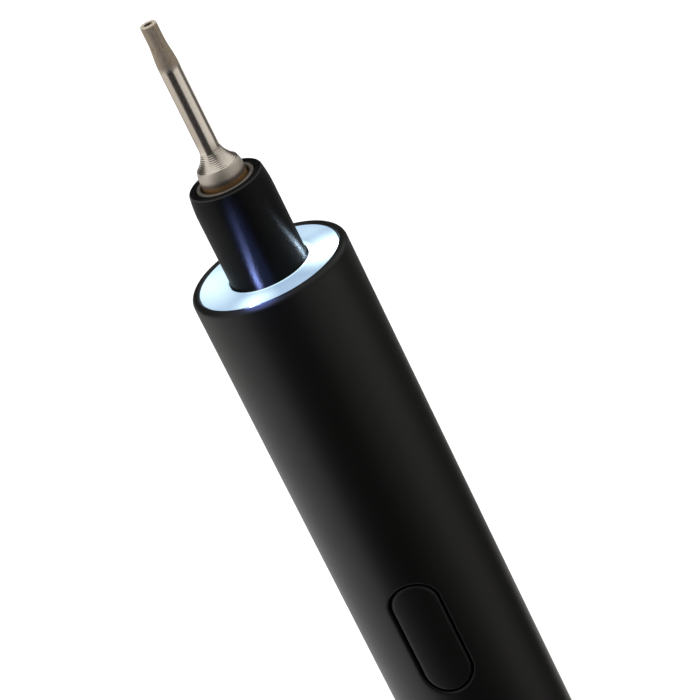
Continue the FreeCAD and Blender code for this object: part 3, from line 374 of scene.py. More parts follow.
def coil_tree():
    """A wire swept along its path and set round the axis, once for each pole."""
    tree, given = node_tree("pole_coils", {"Wire Path": "Geometry", "Poles": "Int", "Pole Step": "Float",
                                           "Wire Radius": "Float"})
    line = add_node(tree, "GeometryNodeMeshToCurve", {"Mesh": given["Wire Path"]})
    section = add_node(tree, "GeometryNodeCurvePrimitiveCircle",
                       {"Resolution": WIRE_SIDES, "Radius": given["Wire Radius"]})
    wire = add_node(tree, "GeometryNodeCurveToMesh",
                    {"Curve": line, "Profile Curve": section, "Fill Caps": True})
    poles = add_node(tree, "GeometryNodeMeshLine", {"Count": given["Poles"], "Offset": (0, 0, 0)})
    number = tree.nodes.new("GeometryNodeInputIndex").outputs["Index"]
    turn = add_node(tree, "ShaderNodeCombineXYZ",
                    {"Z": product(tree, number, given["Pole Step"])})
    spread = add_node(tree, "GeometryNodeInstanceOnPoints",
                      {"Points": poles, "Instance": wire, "Rotation": turn})
    return close_tree(tree, given, spread)


# Finishes


def marks_group(name, stretch, detail, patch_scale, patch_detail, fine_share, low, high):
    """Fine marks on a surface, with larger patches where hands have smoothed it."""
    group = bpy.data.node_groups.new(name, "ShaderNodeTree")
    for label in ("Mark Scale", "Smooth", "Rough"):
        group.interface.new_socket(label, in_out="INPUT", socket_type="NodeSocketFloat")
    for label in ("Height", "Roughness", "Patches"):
        group.interface.new_socket(label, in_out="OUTPUT", socket_type="NodeSocketFloat")
    given = group.nodes.new("NodeGroupInput").outputs
    place = object_place(group)
    stretched = add_node(group, "ShaderNodeMapping", {"Vector": place, "Scale": stretch})
    fine = noise(group, stretched, given["Mark Scale"], detail)
    patches = noise(group, place, patch_scale, patch_detail)
    wear_and_highlight = product(group, patches, 1 - fine_share)
    both = math_node(group, "ADD", product(group, fine, fine_share), wear_and_highlight)
    rough = ranged(group, both, low, high, given["Smooth"], given["Rough"], smooth=False)
    add_node(group, "NodeGroupOutput", {"Height": fine, "Roughness": rough, "Patches": patches})
    return group


# Blasted or moulded grain, and turning lines that run all round the axis
GRAIN = marks_group("surface_grain", stretch=(1, 1, 1), detail=2, patch_scale=90, patch_detail=3,
                    fine_share=0.55, low=0.25, high=0.75)
LATHE = marks_group("turning_lines", stretch=(0.03, 0.03, 1), detail=4, patch_scale=160, patch_detail=2,
                    fine_share=1, low=0.3, high=0.7)
NOISE_RANGE = (0.3, 0.7)
METAL_GRAIN = 9000.0
MIX_FIRST = 6
MIX_SECOND = 7
MIX_RESULT = 2


def new_finish(name):
    finish = bpy.data.materials.new(name)
    finish.use_nodes = True
    return finish, finish.node_tree, finish.node_tree.nodes["Principled BSDF"]


def by_noise(tree, value, low, high):
    """A value that follows a noise, from low to high."""
    return ranged(tree, value, *NOISE_RANGE, low, high, smooth=False)


def two_tone(tree, mask, dark, light):
    """A mix of two colours, each of them a colour or a socket."""
    blend = tree.nodes.new("ShaderNodeMix")
    blend.data_type = "RGBA"
    tones = [tone if isinstance(tone, bpy.types.NodeSocket) else (*tone, 1.0) for tone in (dark, light)]
    feed(tree, blend, {"Factor": mask, MIX_FIRST: tones[0], MIX_SECOND: tones[1]})
    return blend.outputs[MIX_RESULT]


def relief(tree, height, depth):
    """A normal that follows a height, at a depth in millimetres."""
    bump = add_node(tree, "ShaderNodeBump", {"Strength": 1.0, "Distance": depth * MM, "Height": height})
    return bump.outputs["Normal"]


def surface(name, colour, smooth, rough, scale, depth, tone=0.8, specular=0.5, metal=0.0, turned=False):
    """A finish with grain or turning lines, two near tones and a roughness that varies."""
    finish, tree, shader = new_finish(name)
    marks = tree.nodes.new("ShaderNodeGroup")
    marks.node_tree = LATHE if turned else GRAIN
    feed(tree, marks, {"Mark Scale": scale, "Smooth": smooth, "Rough": rough})
    dark = [channel * tone for channel in colour]
    feed(tree, shader, {
        "Base Color": two_tone(tree, marks.outputs["Patches"], dark, colour),
        "Roughness": marks.outputs["Roughness"],
        "Metallic": metal,
        "Specular IOR Level": specular,
        "Normal": relief(tree, marks.outputs["Height"], depth),
    })
    return finish


# Bit steel: heights or radii between which each change runs, roughness, scales and colours
FROSTED = (146.2, 146.9)
# Heights of the tip's rounded rim, which is painted brighter as a highlight
TIP_RIM_BAND = (150.68, 150.8)
SATIN_SHANK = (135.8, 135.5)
# Heights of a band over the collar that is painted with reflections: grey for the black nose, then brown
# lower down for the lit ring
COLLAR_REFLECTION_BAND = (134.9, 134.45)
RING_REFLECTION_BAND = (134.45, 134.1)
OVER_SEAT = (133.25, 133.35)
# Radii and heights of the painted shade inside the tip's hole
HOLE_SHADE_RADII = (0.43, 0.41)
HOLE_SHADE_RISE = (149.0, 149.1)
RAGGED_SCALE = 1500.0
RAGGED_REACH = 0.5
SHAFT_ROUGHNESS = (0.24, 0.27)
SHANK_ROUGHNESS = (0.5, 0.62)
FROSTED_ROUGHNESS = (0.7, 0.82)
SATIN_DEPTH = 0.003
MOTTLE_SCALE = 2600.0
MOTTLE_DARK = (0.44, 0.36, 0.265)
MOTTLE_LIGHT = (0.6, 0.52, 0.415)
# Painted highlight colour for the tip's rounded rim
PAINTED_TIP_RIM_HIGHLIGHT = (0.88, 0.8, 0.68)
PLATED = (0.62, 0.56, 0.485)
# Painted reflections on the collar: the black nose in grey, the lit ring in brown
NOSE_REFLECTION_GREY = (0.2, 0.17, 0.145)
RING_REFLECTION_BROWN = (0.42, 0.25, 0.11)
# Painted shade for the inside of the tip's hole
PAINTED_HOLE_SHADE = (0.02, 0.014, 0.01)


def bit_finish():
    """Nickel-plated steel: a bright shaft, a satin shank and a frosted tip, with painted reflections over
    the collar, a painted highlight on the tip's rim and painted shade in its hole.
    """
    finish, tree, shader = new_finish("bit_steel")
    place = object_place(tree)
    height = parts_of(tree, place)["Z"]
    grain = noise(tree, place, METAL_GRAIN)
    ragged = product(tree, noise(tree, place, RAGGED_SCALE), RAGGED_REACH * MM)
    frosted = between(tree, math_node(tree, "ADD", height, ragged), *FROSTED)
    shank = between(tree, height, *SATIN_SHANK)
    satin = math_node(tree, "MAXIMUM", frosted, shank)
    lower = blended(tree, shank, by_noise(tree, grain, *SHAFT_ROUGHNESS),
                    by_noise(tree, grain, *SHANK_ROUGHNESS))
    mottled = two_tone(tree, noise(tree, place, MOTTLE_SCALE), MOTTLE_DARK, MOTTLE_LIGHT)
    # The tip's rounded rim gets a painted highlight
    tip = two_tone(tree, between(tree, height, *TIP_RIM_BAND), mottled, PAINTED_TIP_RIM_HIGHLIGHT)
    plated = two_tone(tree, frosted, PLATED, tip)
    # Painted reflections of the black nose and the lit ring over the collar
    painted_reflections = two_tone(tree, between(tree, height, *RING_REFLECTION_BAND), NOSE_REFLECTION_GREY, RING_REFLECTION_BROWN)
    over_seat = between(tree, height, *OVER_SEAT)
    reflection_mask = product(tree, between(tree, height, *COLLAR_REFLECTION_BAND), over_seat)
    # The inside of the drilled hole is painted dark: painted shade
    drilled = product(tree, between(tree, from_axis(tree, place), *HOLE_SHADE_RADII),
                      between(tree, height, *HOLE_SHADE_RISE))
    feed(tree, shader, {
        "Base Color": two_tone(tree, drilled, two_tone(tree, reflection_mask, plated, painted_reflections), PAINTED_HOLE_SHADE),
        "Roughness": blended(tree, frosted, lower, by_noise(tree, grain, *FROSTED_ROUGHNESS)),
        "Metallic": 1.0,
        "Normal": relief(tree, product(tree, grain, satin), SATIN_DEPTH),
    })
    return finish


# Light ring: its glow, the brighter lip at the nose and the milky plastic
GLOW_STRENGTH = 8.0
GLOW_SCALE = 420.0
GLOW_UNEVEN = 0.12
GLOW_SPREADS = [
    # angle about the axis, distance from it, reach and weight of the soft light
    (-7.0, 6.0, 4.4, 0.95),
    (45.0, 5.9, 3.0, 0.12),
    (-100.0, 6.3, 2.8, 0.5),
    (172.0, 5.8, 6.0, 0.4),
    (-145.0, 5.8, 3.5, 0.1),
    (90.0, 5.7, 4.0, 0.3),
]
GLOW_TONES = [
    # amount of light and its colour
    (0.0, (0.022, 0.038, 0.062)),
    (0.3, (0.062, 0.088, 0.106)),
    (0.55, (0.1, 0.136, 0.15)),
    (0.8, (0.25, 0.3, 0.35)),
]
LIP = (4.7, 4.2)
LIP_GLOW = 0.35
LIP_LIT_SIDE = (-2.8, -0.8)
MILKY_SCALE = 900.0
MILKY_DARK = (0.22, 0.24, 0.26)
MILKY_LIGHT = (0.25, 0.27, 0.28)
MILKY_ROUGHNESS = 0.4


def diffuser_finish():
    """A milky ring lit from behind, with lamps that show through it."""
    finish, tree, shader = new_finish("light_diffuser")
    place = object_place(tree)
    spread = product(tree, noise(tree, place, GLOW_SCALE), GLOW_UNEVEN)
    for angle, distance, reach, weight in GLOW_SPREADS:
        away = vector_node(tree, "DISTANCE", place, ring_spot(angle, distance), "Value")
        spread = math_node(tree, "ADD", spread, ranged(tree, away, reach * MM, 0.0, 0.0, weight))
    lip = product(tree, between(tree, from_axis(tree, place), *LIP), LIP_GLOW)
    lit_side = between(tree, parts_of(tree, place)["X"], *LIP_LIT_SIDE)
    spread = math_node(tree, "ADD", spread, product(tree, lip, lit_side))
    ramp = add_node(tree, "ShaderNodeValToRGB", {"Fac": spread})
    stops = ramp.color_ramp.elements
    stops[1].position = GLOW_TONES[-1][0]
    for amount, _ in GLOW_TONES[1:-1]:
        stops.new(amount)
    for stop, (_, colour) in zip(stops, GLOW_TONES):
        stop.color = (*colour, 1.0)
    feed(tree, shader, {
        "Emission Color": ramp,
        "Emission Strength": GLOW_STRENGTH,
        "Base Color": two_tone(tree, noise(tree, place, MILKY_SCALE), MILKY_DARK, MILKY_LIGHT),
        "Roughness": MILKY_ROUGHNESS,
        "Specular IOR Level": 0.0,
    })
    return finish


# Nose black, with a painted highlight along the rounded edge of its mouth
# Heights and grey of the painted highlight along the mouth's rounded edge
EDGE_HIGHLIGHT_LOWER = (133.74, 133.86)
EDGE_HIGHLIGHT_UPPER = (133.97, 133.86)
PAINTED_EDGE_HIGHLIGHT = (0.034, 0.034, 0.033)
NOSE_DARK = (0.0014, 0.0015, 0.0017)
NOSE_LIGHT = (0.0022, 0.0023, 0.0026)
NOSE_ROUGHNESS = (0.36, 0.48)
NOSE_SPECULAR = 0.12
NOSE_DEPTH = 0.024
ALONG_AXIS = 0.25


def nose_finish():
    """Black anodised metal: turning marks draw the ring's light out into tall speckled streaks."""
    finish, tree, shader = new_finish("nose_black")
    place = object_place(tree)
    height = parts_of(tree, place)["Z"]
    grain = noise(tree, place, METAL_GRAIN)
    # A painted highlight band along the rounded edge of the mouth
    below = between(tree, height, *EDGE_HIGHLIGHT_UPPER)
    wear_and_highlight = product(tree, between(tree, height, *EDGE_HIGHLIGHT_LOWER), below)
    feed(tree, shader, {
        "Base Color": two_tone(tree, wear_and_highlight, two_tone(tree, grain, NOSE_DARK, NOSE_LIGHT), PAINTED_EDGE_HIGHLIGHT),
        "Roughness": by_noise(tree, grain, *NOSE_ROUGHNESS),
        "Specular IOR Level": NOSE_SPECULAR,
        "Anisotropic": 1.0,
        "Anisotropic Rotation": ALONG_AXIS,
        "Tangent": vector_node(tree, "CROSS_PRODUCT", (0, 0, 1), place),
        "Normal": relief(tree, grain, NOSE_DEPTH),
    })
    return finish


METALS = {
    # name: colour, lowest and highest roughness, scale and depth of the marks
    "spindle_steel": ((0.31, 0.28, 0.24), 0.5, 0.62, 9000, 0.002),
    "bearing_steel": ((0.60, 0.61, 0.63), 0.08, 0.16, 5000, 0.0005),
    "plain_steel": ((0.48, 0.48, 0.49), 0.25, 0.4, 4000, 0.002),
    "gear_steel": ((0.4, 0.4, 0.41), 0.35, 0.5, 5000, 0.003),
    "bronze": ((0.45, 0.29, 0.13), 0.35, 0.5, 5000, 0.004),
    "brass": ((0.66, 0.49, 0.19), 0.2, 0.32, 6000, 0.0015),
    "copper": ((0.68, 0.31, 0.17), 0.22, 0.36, 3500, 0.004),
    "gold_contact": ((0.82, 0.6, 0.22), 0.16, 0.26, 5000, 0.0005),
    "neodymium": ((0.62, 0.62, 0.64), 0.14, 0.24, 4000, 0.001),
}
TURNED_METALS = ("spindle_steel", "brass", "copper")
COATS = {
    # name: colour, lowest and highest roughness, scale and depth of the grain, darker tone and shine
    "barrel_black": ((0.0022, 0.0022, 0.0019), 0.4, 0.5, 9000, 0.0025, 0.8, 0.34),
    "tail_black": ((0.0024, 0.0024, 0.0021), 0.44, 0.56, 7000, 0.004, 0.8, 0.34),
    "button_black": ((0.0022, 0.0022, 0.002), 0.42, 0.54, 8000, 0.003, 0.8, 0.34),
    "gear_plastic": ((0.76, 0.74, 0.68), 0.36, 0.48, 3000, 0.002, 0.94),
    "frame_plastic": ((0.035, 0.035, 0.038), 0.45, 0.6, 4000, 0.004),
    "white_plastic": ((0.8, 0.8, 0.78), 0.4, 0.52, 3000, 0.003, 0.94),
    "black_plastic": ((0.014, 0.014, 0.014), 0.42, 0.55, 4000, 0.003),
    "board_green": ((0.02, 0.17, 0.07), 0.22, 0.34, 2500, 0.002, 0.7),
    "board_white": ((0.85, 0.86, 0.85), 0.25, 0.36, 2500, 0.002, 0.95),
    "ribbon_amber": ((0.5, 0.25, 0.04), 0.15, 0.28, 2000, 0.002, 0.85),
    "led_yellow": ((0.86, 0.8, 0.42), 0.3, 0.42, 4000, 0.002, 0.92),
    "ferrite": ((0.05, 0.05, 0.055), 0.5, 0.65, 3500, 0.006),
    "carbon": ((0.022, 0.022, 0.022), 0.5, 0.65, 6000, 0.005),
    "battery_wrap": ((0.05, 0.17, 0.44), 0.2, 0.32, 700, 0.008, 0.9),
    "lead_red": ((0.45, 0.02, 0.02), 0.35, 0.48, 2500, 0.002, 0.85),
}
FINISHES = {"nose_black": nose_finish(), "light_diffuser": diffuser_finish(), "bit_steel": bit_finish()}
for finish_name, look in METALS.items():
    FINISHES[finish_name] = surface(finish_name, *look, metal=1.0, turned=finish_name in TURNED_METALS)
for finish_name, look in COATS.items():
    FINISHES[finish_name] = surface(finish_name, *look)

BODIES = frame["record"]["behaviour"]["bodies"]
SLOT_OF = {row["node"]: row["material_slot"] for row in frame["record"]["subparts"]}
BODY_OF = {node: body for body, members in BODIES.items() for node in members}


def painted(piece, node):
    piece.data.materials.clear()
    piece.data.materials.append(FINISHES[SLOT_OF[node]])


def installed(piece, node):
    """Paint a piece and let it stand for its node, on the node's body."""
    painted(piece, node)
    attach(piece, BODY_OF[node])
    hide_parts(node)


# Barrel

BARREL_RADIUS = 8.0
BARREL_BORE = 7.2
BARREL_REAR = 5.0
BARREL_FRONT = 124.15
RIM_ROUND = 0.6
SEAM_CHAMFER = 0.1
RIM_EDGE = 0.15
REAR_ROWS = [20.0, 40.0]
FRONT_ROWS = [104.0, 114.0]
ROW_MARGIN = 0.01
COLUMNS = 96
PATCH_COLUMNS = 10
PATCH_ROWS = 32
PATCH_RINGS = 6
BUTTON_HEIGHTS = {"forward_button": 84.27, "reverse_button": 67.27}
BUTTON_SPACING = 17.0
BUTTON_RUN = 4.0
WINDOW_POINTS = 4 * PATCH_COLUMNS + 2 * PATCH_ROWS
WINDOW_RADIUS = 2.55
WINDOW_ROUND = 0.3


def window_patch(radius, height, grow):
    """Faces from a button window out to a rectangle of the barrel's grid."""
    rise = BUTTON_SPACING / PATCH_ROWS
    half_rows = PATCH_ROWS // 2
    right = [(PATCH_COLUMNS, row) for row in range(-half_rows, half_rows)]
    top = [(-column, half_rows) for column in range(-PATCH_COLUMNS, PATCH_COLUMNS)]
    around = right + top + [(-column, -row) for column, row in right + top]
    cells = around[half_rows:] + around[:half_rows]
    edge = [(radius * sin(2 * pi * column / COLUMNS), row * rise) for column, row in cells]
    inner = track(WINDOW_POINTS, BUTTON_RUN, WINDOW_RADIUS, grow)
    shares = stepped(0, 1, PATCH_RINGS)
    return skin([on_barrel(mixed(inner, edge, share), radius, height) for share in shares])


def window_edge(height):
    """Faces of a window's rounded edge and of its wall, down to the bore."""
    rows = [(grow, BARREL_RADIUS - depth) for grow, depth in rounding(WINDOW_ROUND)] + [(0.0, BARREL_BORE)]
    rings = [on_barrel(track(WINDOW_POINTS, BUTTON_RUN, WINDOW_RADIUS, grow), radius, height)
             for grow, radius in rows]
    return skin(rings)


def column_face(column, lower, upper):
    """A face of the barrel one column wide, between two points (radius, height)."""
    corners = [(column, lower), (column + 1, lower), (column + 1, upper), (column, upper)]
    return [(*from_front(radius, 2 * pi * side / COLUMNS), z) for side, (radius, z) in corners]


def make_barrel():
    """A tube with two button windows, a rounded front rim and a fine seam at the tail."""
    heights = sorted(BUTTON_HEIGHTS.values())
    low = heights[0] - BUTTON_SPACING / 2
    high = heights[-1] + BUTTON_SPACING / 2
    shoulder = BARREL_FRONT - RIM_ROUND
    rows = [BARREL_REAR + SEAM_CHAMFER, *REAR_ROWS, *stepped(low, high, 2 * PATCH_ROWS)]
    rows += [*FRONT_ROWS, shoulder]
    front = [(BARREL_RADIUS, shoulder)]
    front += leaning(front[0], (BARREL_RADIUS - RIM_ROUND, BARREL_FRONT), ARC_STEPS)
    front += [(BARREL_BORE + RIM_EDGE, BARREL_FRONT), (BARREL_BORE, BARREL_FRONT - RIM_EDGE),
              (BARREL_BORE, shoulder)]
    rear = [(BARREL_RADIUS, rows[0]), (BARREL_RADIUS - SEAM_CHAMFER, BARREL_REAR),
            (BARREL_BORE, BARREL_REAR), (BARREL_BORE, rows[0])]
    faces = []
    for column in range(COLUMNS):
        in_patch = column < PATCH_COLUMNS or column >= COLUMNS - PATCH_COLUMNS
        for radius in (BARREL_RADIUS, BARREL_BORE):
            for lower, upper in zip(rows, rows[1:]):
                if in_patch and low - ROW_MARGIN < lower < high - ROW_MARGIN:
                    continue
                faces.append(column_face(column, (radius, lower), (radius, upper)))
        for profile in (front, rear):
            faces += [column_face(column, lower, upper) for lower, upper in zip(profile, profile[1:])]
    for height in heights:
        faces += window_patch(BARREL_RADIUS, height, WINDOW_ROUND)
        faces += window_edge(height)
        faces += window_patch(BARREL_BORE, height, 0.0)
    installed(from_faces("barrel_shell", faces), "barrel")


# Buttons

BUTTON_SIDE = 2.36
BUTTON_TOP = 7.95
BUTTON_ROUND = 0.28
CAP_RINGS = 8
FLANGE_SIDE = 2.95
FLANGE_TOP = 7.15
FLANGE_FLOOR = 6.85
NUB_POINTS = 32
# radius and distance from the axis of the barrel
NUB_PROFILE = [(0.0, 6.95), (0.8, 6.95), (0.8, 6.55), (0.7, 6.45), (0.0, 6.45)]


def make_button(node, height):
    """A flush cap with an eased edge, its flange behind the window and the nub on the switch."""
    def ring(grow, radius):
        return on_barrel(track(WINDOW_POINTS, BUTTON_RUN, BUTTON_SIDE, grow), radius, height)

    reach = FLANGE_SIDE - BUTTON_SIDE
    cap = [ring(grow, BUTTON_TOP) for grow in stepped(-BUTTON_SIDE, 0, CAP_RINGS)[:-2]]
    cap += [ring(-inset, BUTTON_TOP - depth) for inset, depth in rounding(BUTTON_ROUND)]
    cap += [ring(grow, FLANGE_TOP) for grow in (0.0, reach)]
    cap += [ring(grow, FLANGE_FLOOR) for grow in stepped(reach, -BUTTON_SIDE, CAP_RINGS)]
    nub = [[(x, -y, height + z) for x, z, _ in circle(radius, 0, NUB_POINTS)] for radius, y in NUB_PROFILE]
    installed(from_faces(node + "_cap", skin(cap) + skin(nub)), node)


# Tail cap

TAIL_POINTS = 128
TAIL_RUN = 2.87
TAIL_SLOT_RADIUS = 1.7
TAIL_SLOT_ROUND = 0.25
TAIL_EDGE_ROUND = 1.0
TAIL_FLOOR = 2.0
FLOOR_RINGS = 4
END_RINGS = 6
SPIGOT_BORE = 5.95
# radius and height, from the seam into the barrel
SPIGOT_PROFILE = [(7.15, BARREL_REAR), (7.15, 10.8), (6.95, 11.0), (SPIGOT_BORE, 11.0)]


def make_tail_cap():
    """A cap with a long slot for the charging socket and a spigot that fits in the barrel."""
    def slot(grow, z):
        return [(-y, x, z) for x, y in track(TAIL_POINTS, TAIL_RUN, TAIL_SLOT_RADIUS, grow)]

    def round_ring(radius, z):
        return [(-y, x, z) for x, y, _ in circle(radius, z, TAIL_POINTS)]

    flat = BARREL_RADIUS - TAIL_EDGE_ROUND
    inside = [slot(0, TAIL_FLOOR), round_ring(SPIGOT_BORE, TAIL_FLOOR)]
    outside = [slot(TAIL_SLOT_ROUND, 0), round_ring(flat, 0)]
    rings = [mixed(*inside, share) for share in stepped(1, 0, FLOOR_RINGS)]
    rings += [slot(grow, z) for z, grow in rounding(TAIL_SLOT_ROUND)]
    rings += [mixed(*outside, share) for share in stepped(0, 1, END_RINGS)[1:]]
    profile = arc((flat, 0.0), (BARREL_RADIUS, TAIL_EDGE_ROUND), (flat, TAIL_EDGE_ROUND), ARC_STEPS)
    profile += [(BARREL_RADIUS, BARREL_REAR - SEAM_CHAMFER), (BARREL_RADIUS - SEAM_CHAMFER, BARREL_REAR)]
    rings += [round_ring(radius, z) for radius, z in profile + SPIGOT_PROFILE]
    installed(from_faces("tail_shell", skin(rings, loop=True)), "tail_cap")


# Nose sleeve and light ring

PATH_RADIUS = 2.0
LATHE_SEGMENTS = 144
TURNING = turning_tree()
NOSE_RADIUS = 3.94
NOSE_TOP = 134.0
NOSE_FOOT = 4.08
NOSE_FLARE = 0.14
NOSE_ROWS = 4
NOSE_ROW_RISE = 1.4
NOSE_EDGE_STEPS = 8
NOSE_TIP_ROUND = 0.35
SHOULDER_START = 131.4
SHOULDER_END = 133.65
SHOULDER_RADIUS = 3.74
# radius and height: the flange, then the mouth and the bore with the seats of bush and bearing
NOSE_FLANGE = [(4.0, 115.0), (7.15, 115.0), (7.15, 120.0), (NOSE_FOOT, 120.0), (NOSE_FOOT, RING_PLANE)]
NOSE_BORE = [(3.17, 134.0), (3.08, 133.96), (3.05, 133.88), (3.05, 125.5), (3.4, 125.5), (3.4, 118.2),
             (4.0, 118.2)]
BOLT_ANGLES = (90, 210, 330)
BOLT_ORBIT = 6.0
BOLT_POINTS = 24
BOLT_HOLE = [(0.0, 114.0), (0.6, 114.0), (0.6, 118.7), (0.0, 118.7)]
# across and away from the buttons' side, then the ends along the axis
CABLE_GROOVE = [(-1.7, -6.75), (1.7, -6.75), (1.7, -9.0), (-1.7, -9.0)]
CABLE_GROOVE_ENDS = (114.0, 120.4)
# radius, height and rounding
LENS_CORNERS = [(7.13, 120.8, 0), (7.13, RING_PLANE, 0.08), (4.15, RING_PLANE, 0.1), (4.15, 122.4, 0),
                (6.63, 122.4, 0), (6.63, 120.8, 0)]


def turned_piece(name, node, profile):
    """A piece turned from a closed profile of (radius, height) points."""
    points = [((radius - PATH_RADIUS) * MM, -z * MM, 0) for radius, z in profile]
    edges = [(i, (i + 1) % len(points)) for i in range(len(points))]
    return run_tree(built(name, points, edges), TURNING, node, segments=LATHE_SEGMENTS,
                    path_radius=PATH_RADIUS * MM)


def nose_profile():
    """The nose from its flange over the slim shoulder and down its bore."""
    flare_top = RING_PLANE + NOSE_FLARE
    profile = list(NOSE_FLANGE)
    profile += arc(profile[-1], (NOSE_RADIUS, flare_top), (NOSE_FOOT, flare_top), NOSE_EDGE_STEPS)
    profile += [(NOSE_RADIUS, flare_top + NOSE_ROW_RISE * i) for i in range(1, NOSE_ROWS + 1)]
    profile.append((NOSE_RADIUS, SHOULDER_START))
    profile += leaning(profile[-1], (SHOULDER_RADIUS, SHOULDER_END), ARC_STEPS)
    profile += leaning(profile[-1], (SHOULDER_RADIUS - NOSE_TIP_ROUND, NOSE_TOP), NOSE_EDGE_STEPS)
    return profile + NOSE_BORE


def nose_cutters():
    """The bolt holes and the cable's groove, as one tool."""
    faces = []
    for angle in BOLT_ANGLES:
        x, y = polar(BOLT_ORBIT, radians(angle))
        rings = [circle(radius, z, BOLT_POINTS) for radius, z in BOLT_HOLE]
        faces += skin([[(x + px, y + py, z) for px, py, z in ring] for ring in rings])
    groove = [[(x, y, z) for x, y in CABLE_GROOVE] for z in CABLE_GROOVE_ENDS]
    return from_faces("nose_cutters", faces + skin(groove) + groove)


def make_nose():
    nose = turned_piece("nose_turning", "nose_sleeve", nose_profile())
    tool = nose_cutters()
    holes = nose.modifiers.new("holes", "BOOLEAN")
    holes.operation = "DIFFERENCE"
    holes.solver = "EXACT"
    holes.object = tool
    evaluated(nose)
    bpy.data.objects.remove(tool)
    settle(nose.data)
    installed(nose, "nose_sleeve")


def make_light_ring():
    installed(turned_piece("light_ring_lens", "light_ring", eased(LENS_CORNERS)), "light_ring")


# Spindle

SPINDLE_POINTS = 144
SPINDLE_FACE = 133.95
SHAFT_FLAT = 1.5
# radius and height: the flatted end, then the clip groove, the head and the bit's seat
SHAFT_END = [(1.9, 110.0), (2.0, 110.1), (2.0, 114.4)]
SPINDLE_PROFILE = [(2.0, 114.4), (2.0, 114.7), (1.7, 114.7), (1.7, 115.2), (2.0, 115.2), (2.0, 118.2),
                   (2.9, 118.2), (2.9, 133.88)]
HEAD_EDGE_END = (2.83, SPINDLE_FACE)
HEAD_EDGE_STEPS = 4
SEAT_PROFILE = [(2.56, SPINDLE_FACE), (2.5, 133.89), (2.5, 133.15)]
SOCKET_FLATS = 4.06
SOCKET_ENDS = (133.15, 122.9)
MAGNET_RADIUS = 1.9
MAGNET_ENDS = (122.9, 120.9)


def hexagon(flats, z, count, limit=inf, ease=0.0):
    """A hexagon with a corner on +X, its corners rounded by ease and cut back to a limit."""
    half = flats / 2
    half_side = radians(30)
    corner = (half - ease) / cos(half_side)
    flat_end = atan((half - ease) * tan(half_side) / half)
    ring = []
    for i in range(count):
        turn = 2 * pi * i / count
        off_flat = abs(turn % (2 * half_side) - half_side)
        radius = half / cos(off_flat)
        if off_flat > flat_end and ease:
            off_corner = half_side - off_flat
            swing = ease ** 2 - (corner * sin(off_corner)) ** 2
            radius = corner * cos(off_corner) + sqrt(max(swing, 0.0))
        ring.append((*polar(min(radius, limit), turn), z))
    return ring


def flatted(radius, z):
    """The shaft's section with its one flat towards +X."""
    return [(min(x, SHAFT_FLAT), y, z) for x, y, _ in circle(radius, 0, SPINDLE_POINTS)]


def make_spindle():
    """A flatted shaft, a head, and in it the bit's seat, hex socket and magnet hole."""
    head_edge = leaning(SPINDLE_PROFILE[-1], HEAD_EDGE_END, HEAD_EDGE_STEPS)
    rings = [[(0, 0, SHAFT_END[0][1])]]
    rings += [flatted(radius, z) for radius, z in SHAFT_END]
    rings += [circle(radius, z, SPINDLE_POINTS) for radius, z in SPINDLE_PROFILE + head_edge + SEAT_PROFILE]
    rings += [hexagon(SOCKET_FLATS, z, SPINDLE_POINTS) for z in SOCKET_ENDS]
    rings += [circle(MAGNET_RADIUS, z, SPINDLE_POINTS) for z in MAGNET_ENDS]
    rings.append([(0, 0, MAGNET_ENDS[-1])])
    installed(from_faces("spindle_turning", skin(rings)), "spindle")


# Bit

BIT_POINTS = 192
BIT_CREASE = 28
BIT_FLATS = 4.0
BIT_CORNER = 0.45
# radius and height: the shank, cut from the hexagon, then the collar
SHANK_PROFILE = [(1.909, 122.9), (2.309, 123.3), (2.309, 128.0), (2.309, 133.25)]
COLLAR_PROFILE = [(2.15, 133.25), (2.25, 133.35), (2.25, 134.2), (2.25, 134.75)]
BULGE_STEPS = 12
FLARE_RADIUS = 2.04
FLARE_START = 135.72
FLARE_END = 137.45
FLARE_BOW = 0.18
GROOVES = 10
GROOVE_DEPTH = 0.021
GROOVE_STEPS = 8
GROOVE_FADE = 6
SHAFT_RADIUS = 1.02
SHAFT_ROWS = [138.5, 142.0, 146.0]
TAPER_START = 146.3
TAPER_END = 149.2
TAPER_STEPS = 24
TIP_RADIUS = 0.81
TIP_ROWS = [149.6, 150.0, 150.4]
TIP_ROUND = 0.14
TIP_ROUND_STEPS = 5
BIT_END = 150.86
FLUTE_ANGLE = 60
FLUTE_ORBIT = 1.18
FLUTE_RADIUS = 0.4
FLUTE_START = 148.5
HOLE_PROFILE = [(0.47, 150.86), (0.42, 150.81), (0.42, 149.4)]
HOLE_POINT = 149.25


def bit_ring(radius, z):
    """One round section of the bit, fluted at the tip."""
    ring = circle(radius, z, BIT_POINTS)
    below = max(FLUTE_START - z, 0.0)
    if below >= FLUTE_RADIUS:
        return ring
    flute = sqrt(FLUTE_RADIUS ** 2 - below ** 2)
    half_angle = FLUTE_ANGLE / 2
    fluted = []
    for i, (x, y, _) in enumerate(ring):
        turn = radians((360 * i / BIT_POINTS + half_angle) % FLUTE_ANGLE - half_angle)
        side = FLUTE_ORBIT * sin(turn)
        reach = radius
        if abs(side) < flute:
            reach = min(reach, FLUTE_ORBIT * cos(turn) - sqrt(flute ** 2 - side ** 2))
        fluted.append((x * reach / radius, y * reach / radius, z))
    return fluted


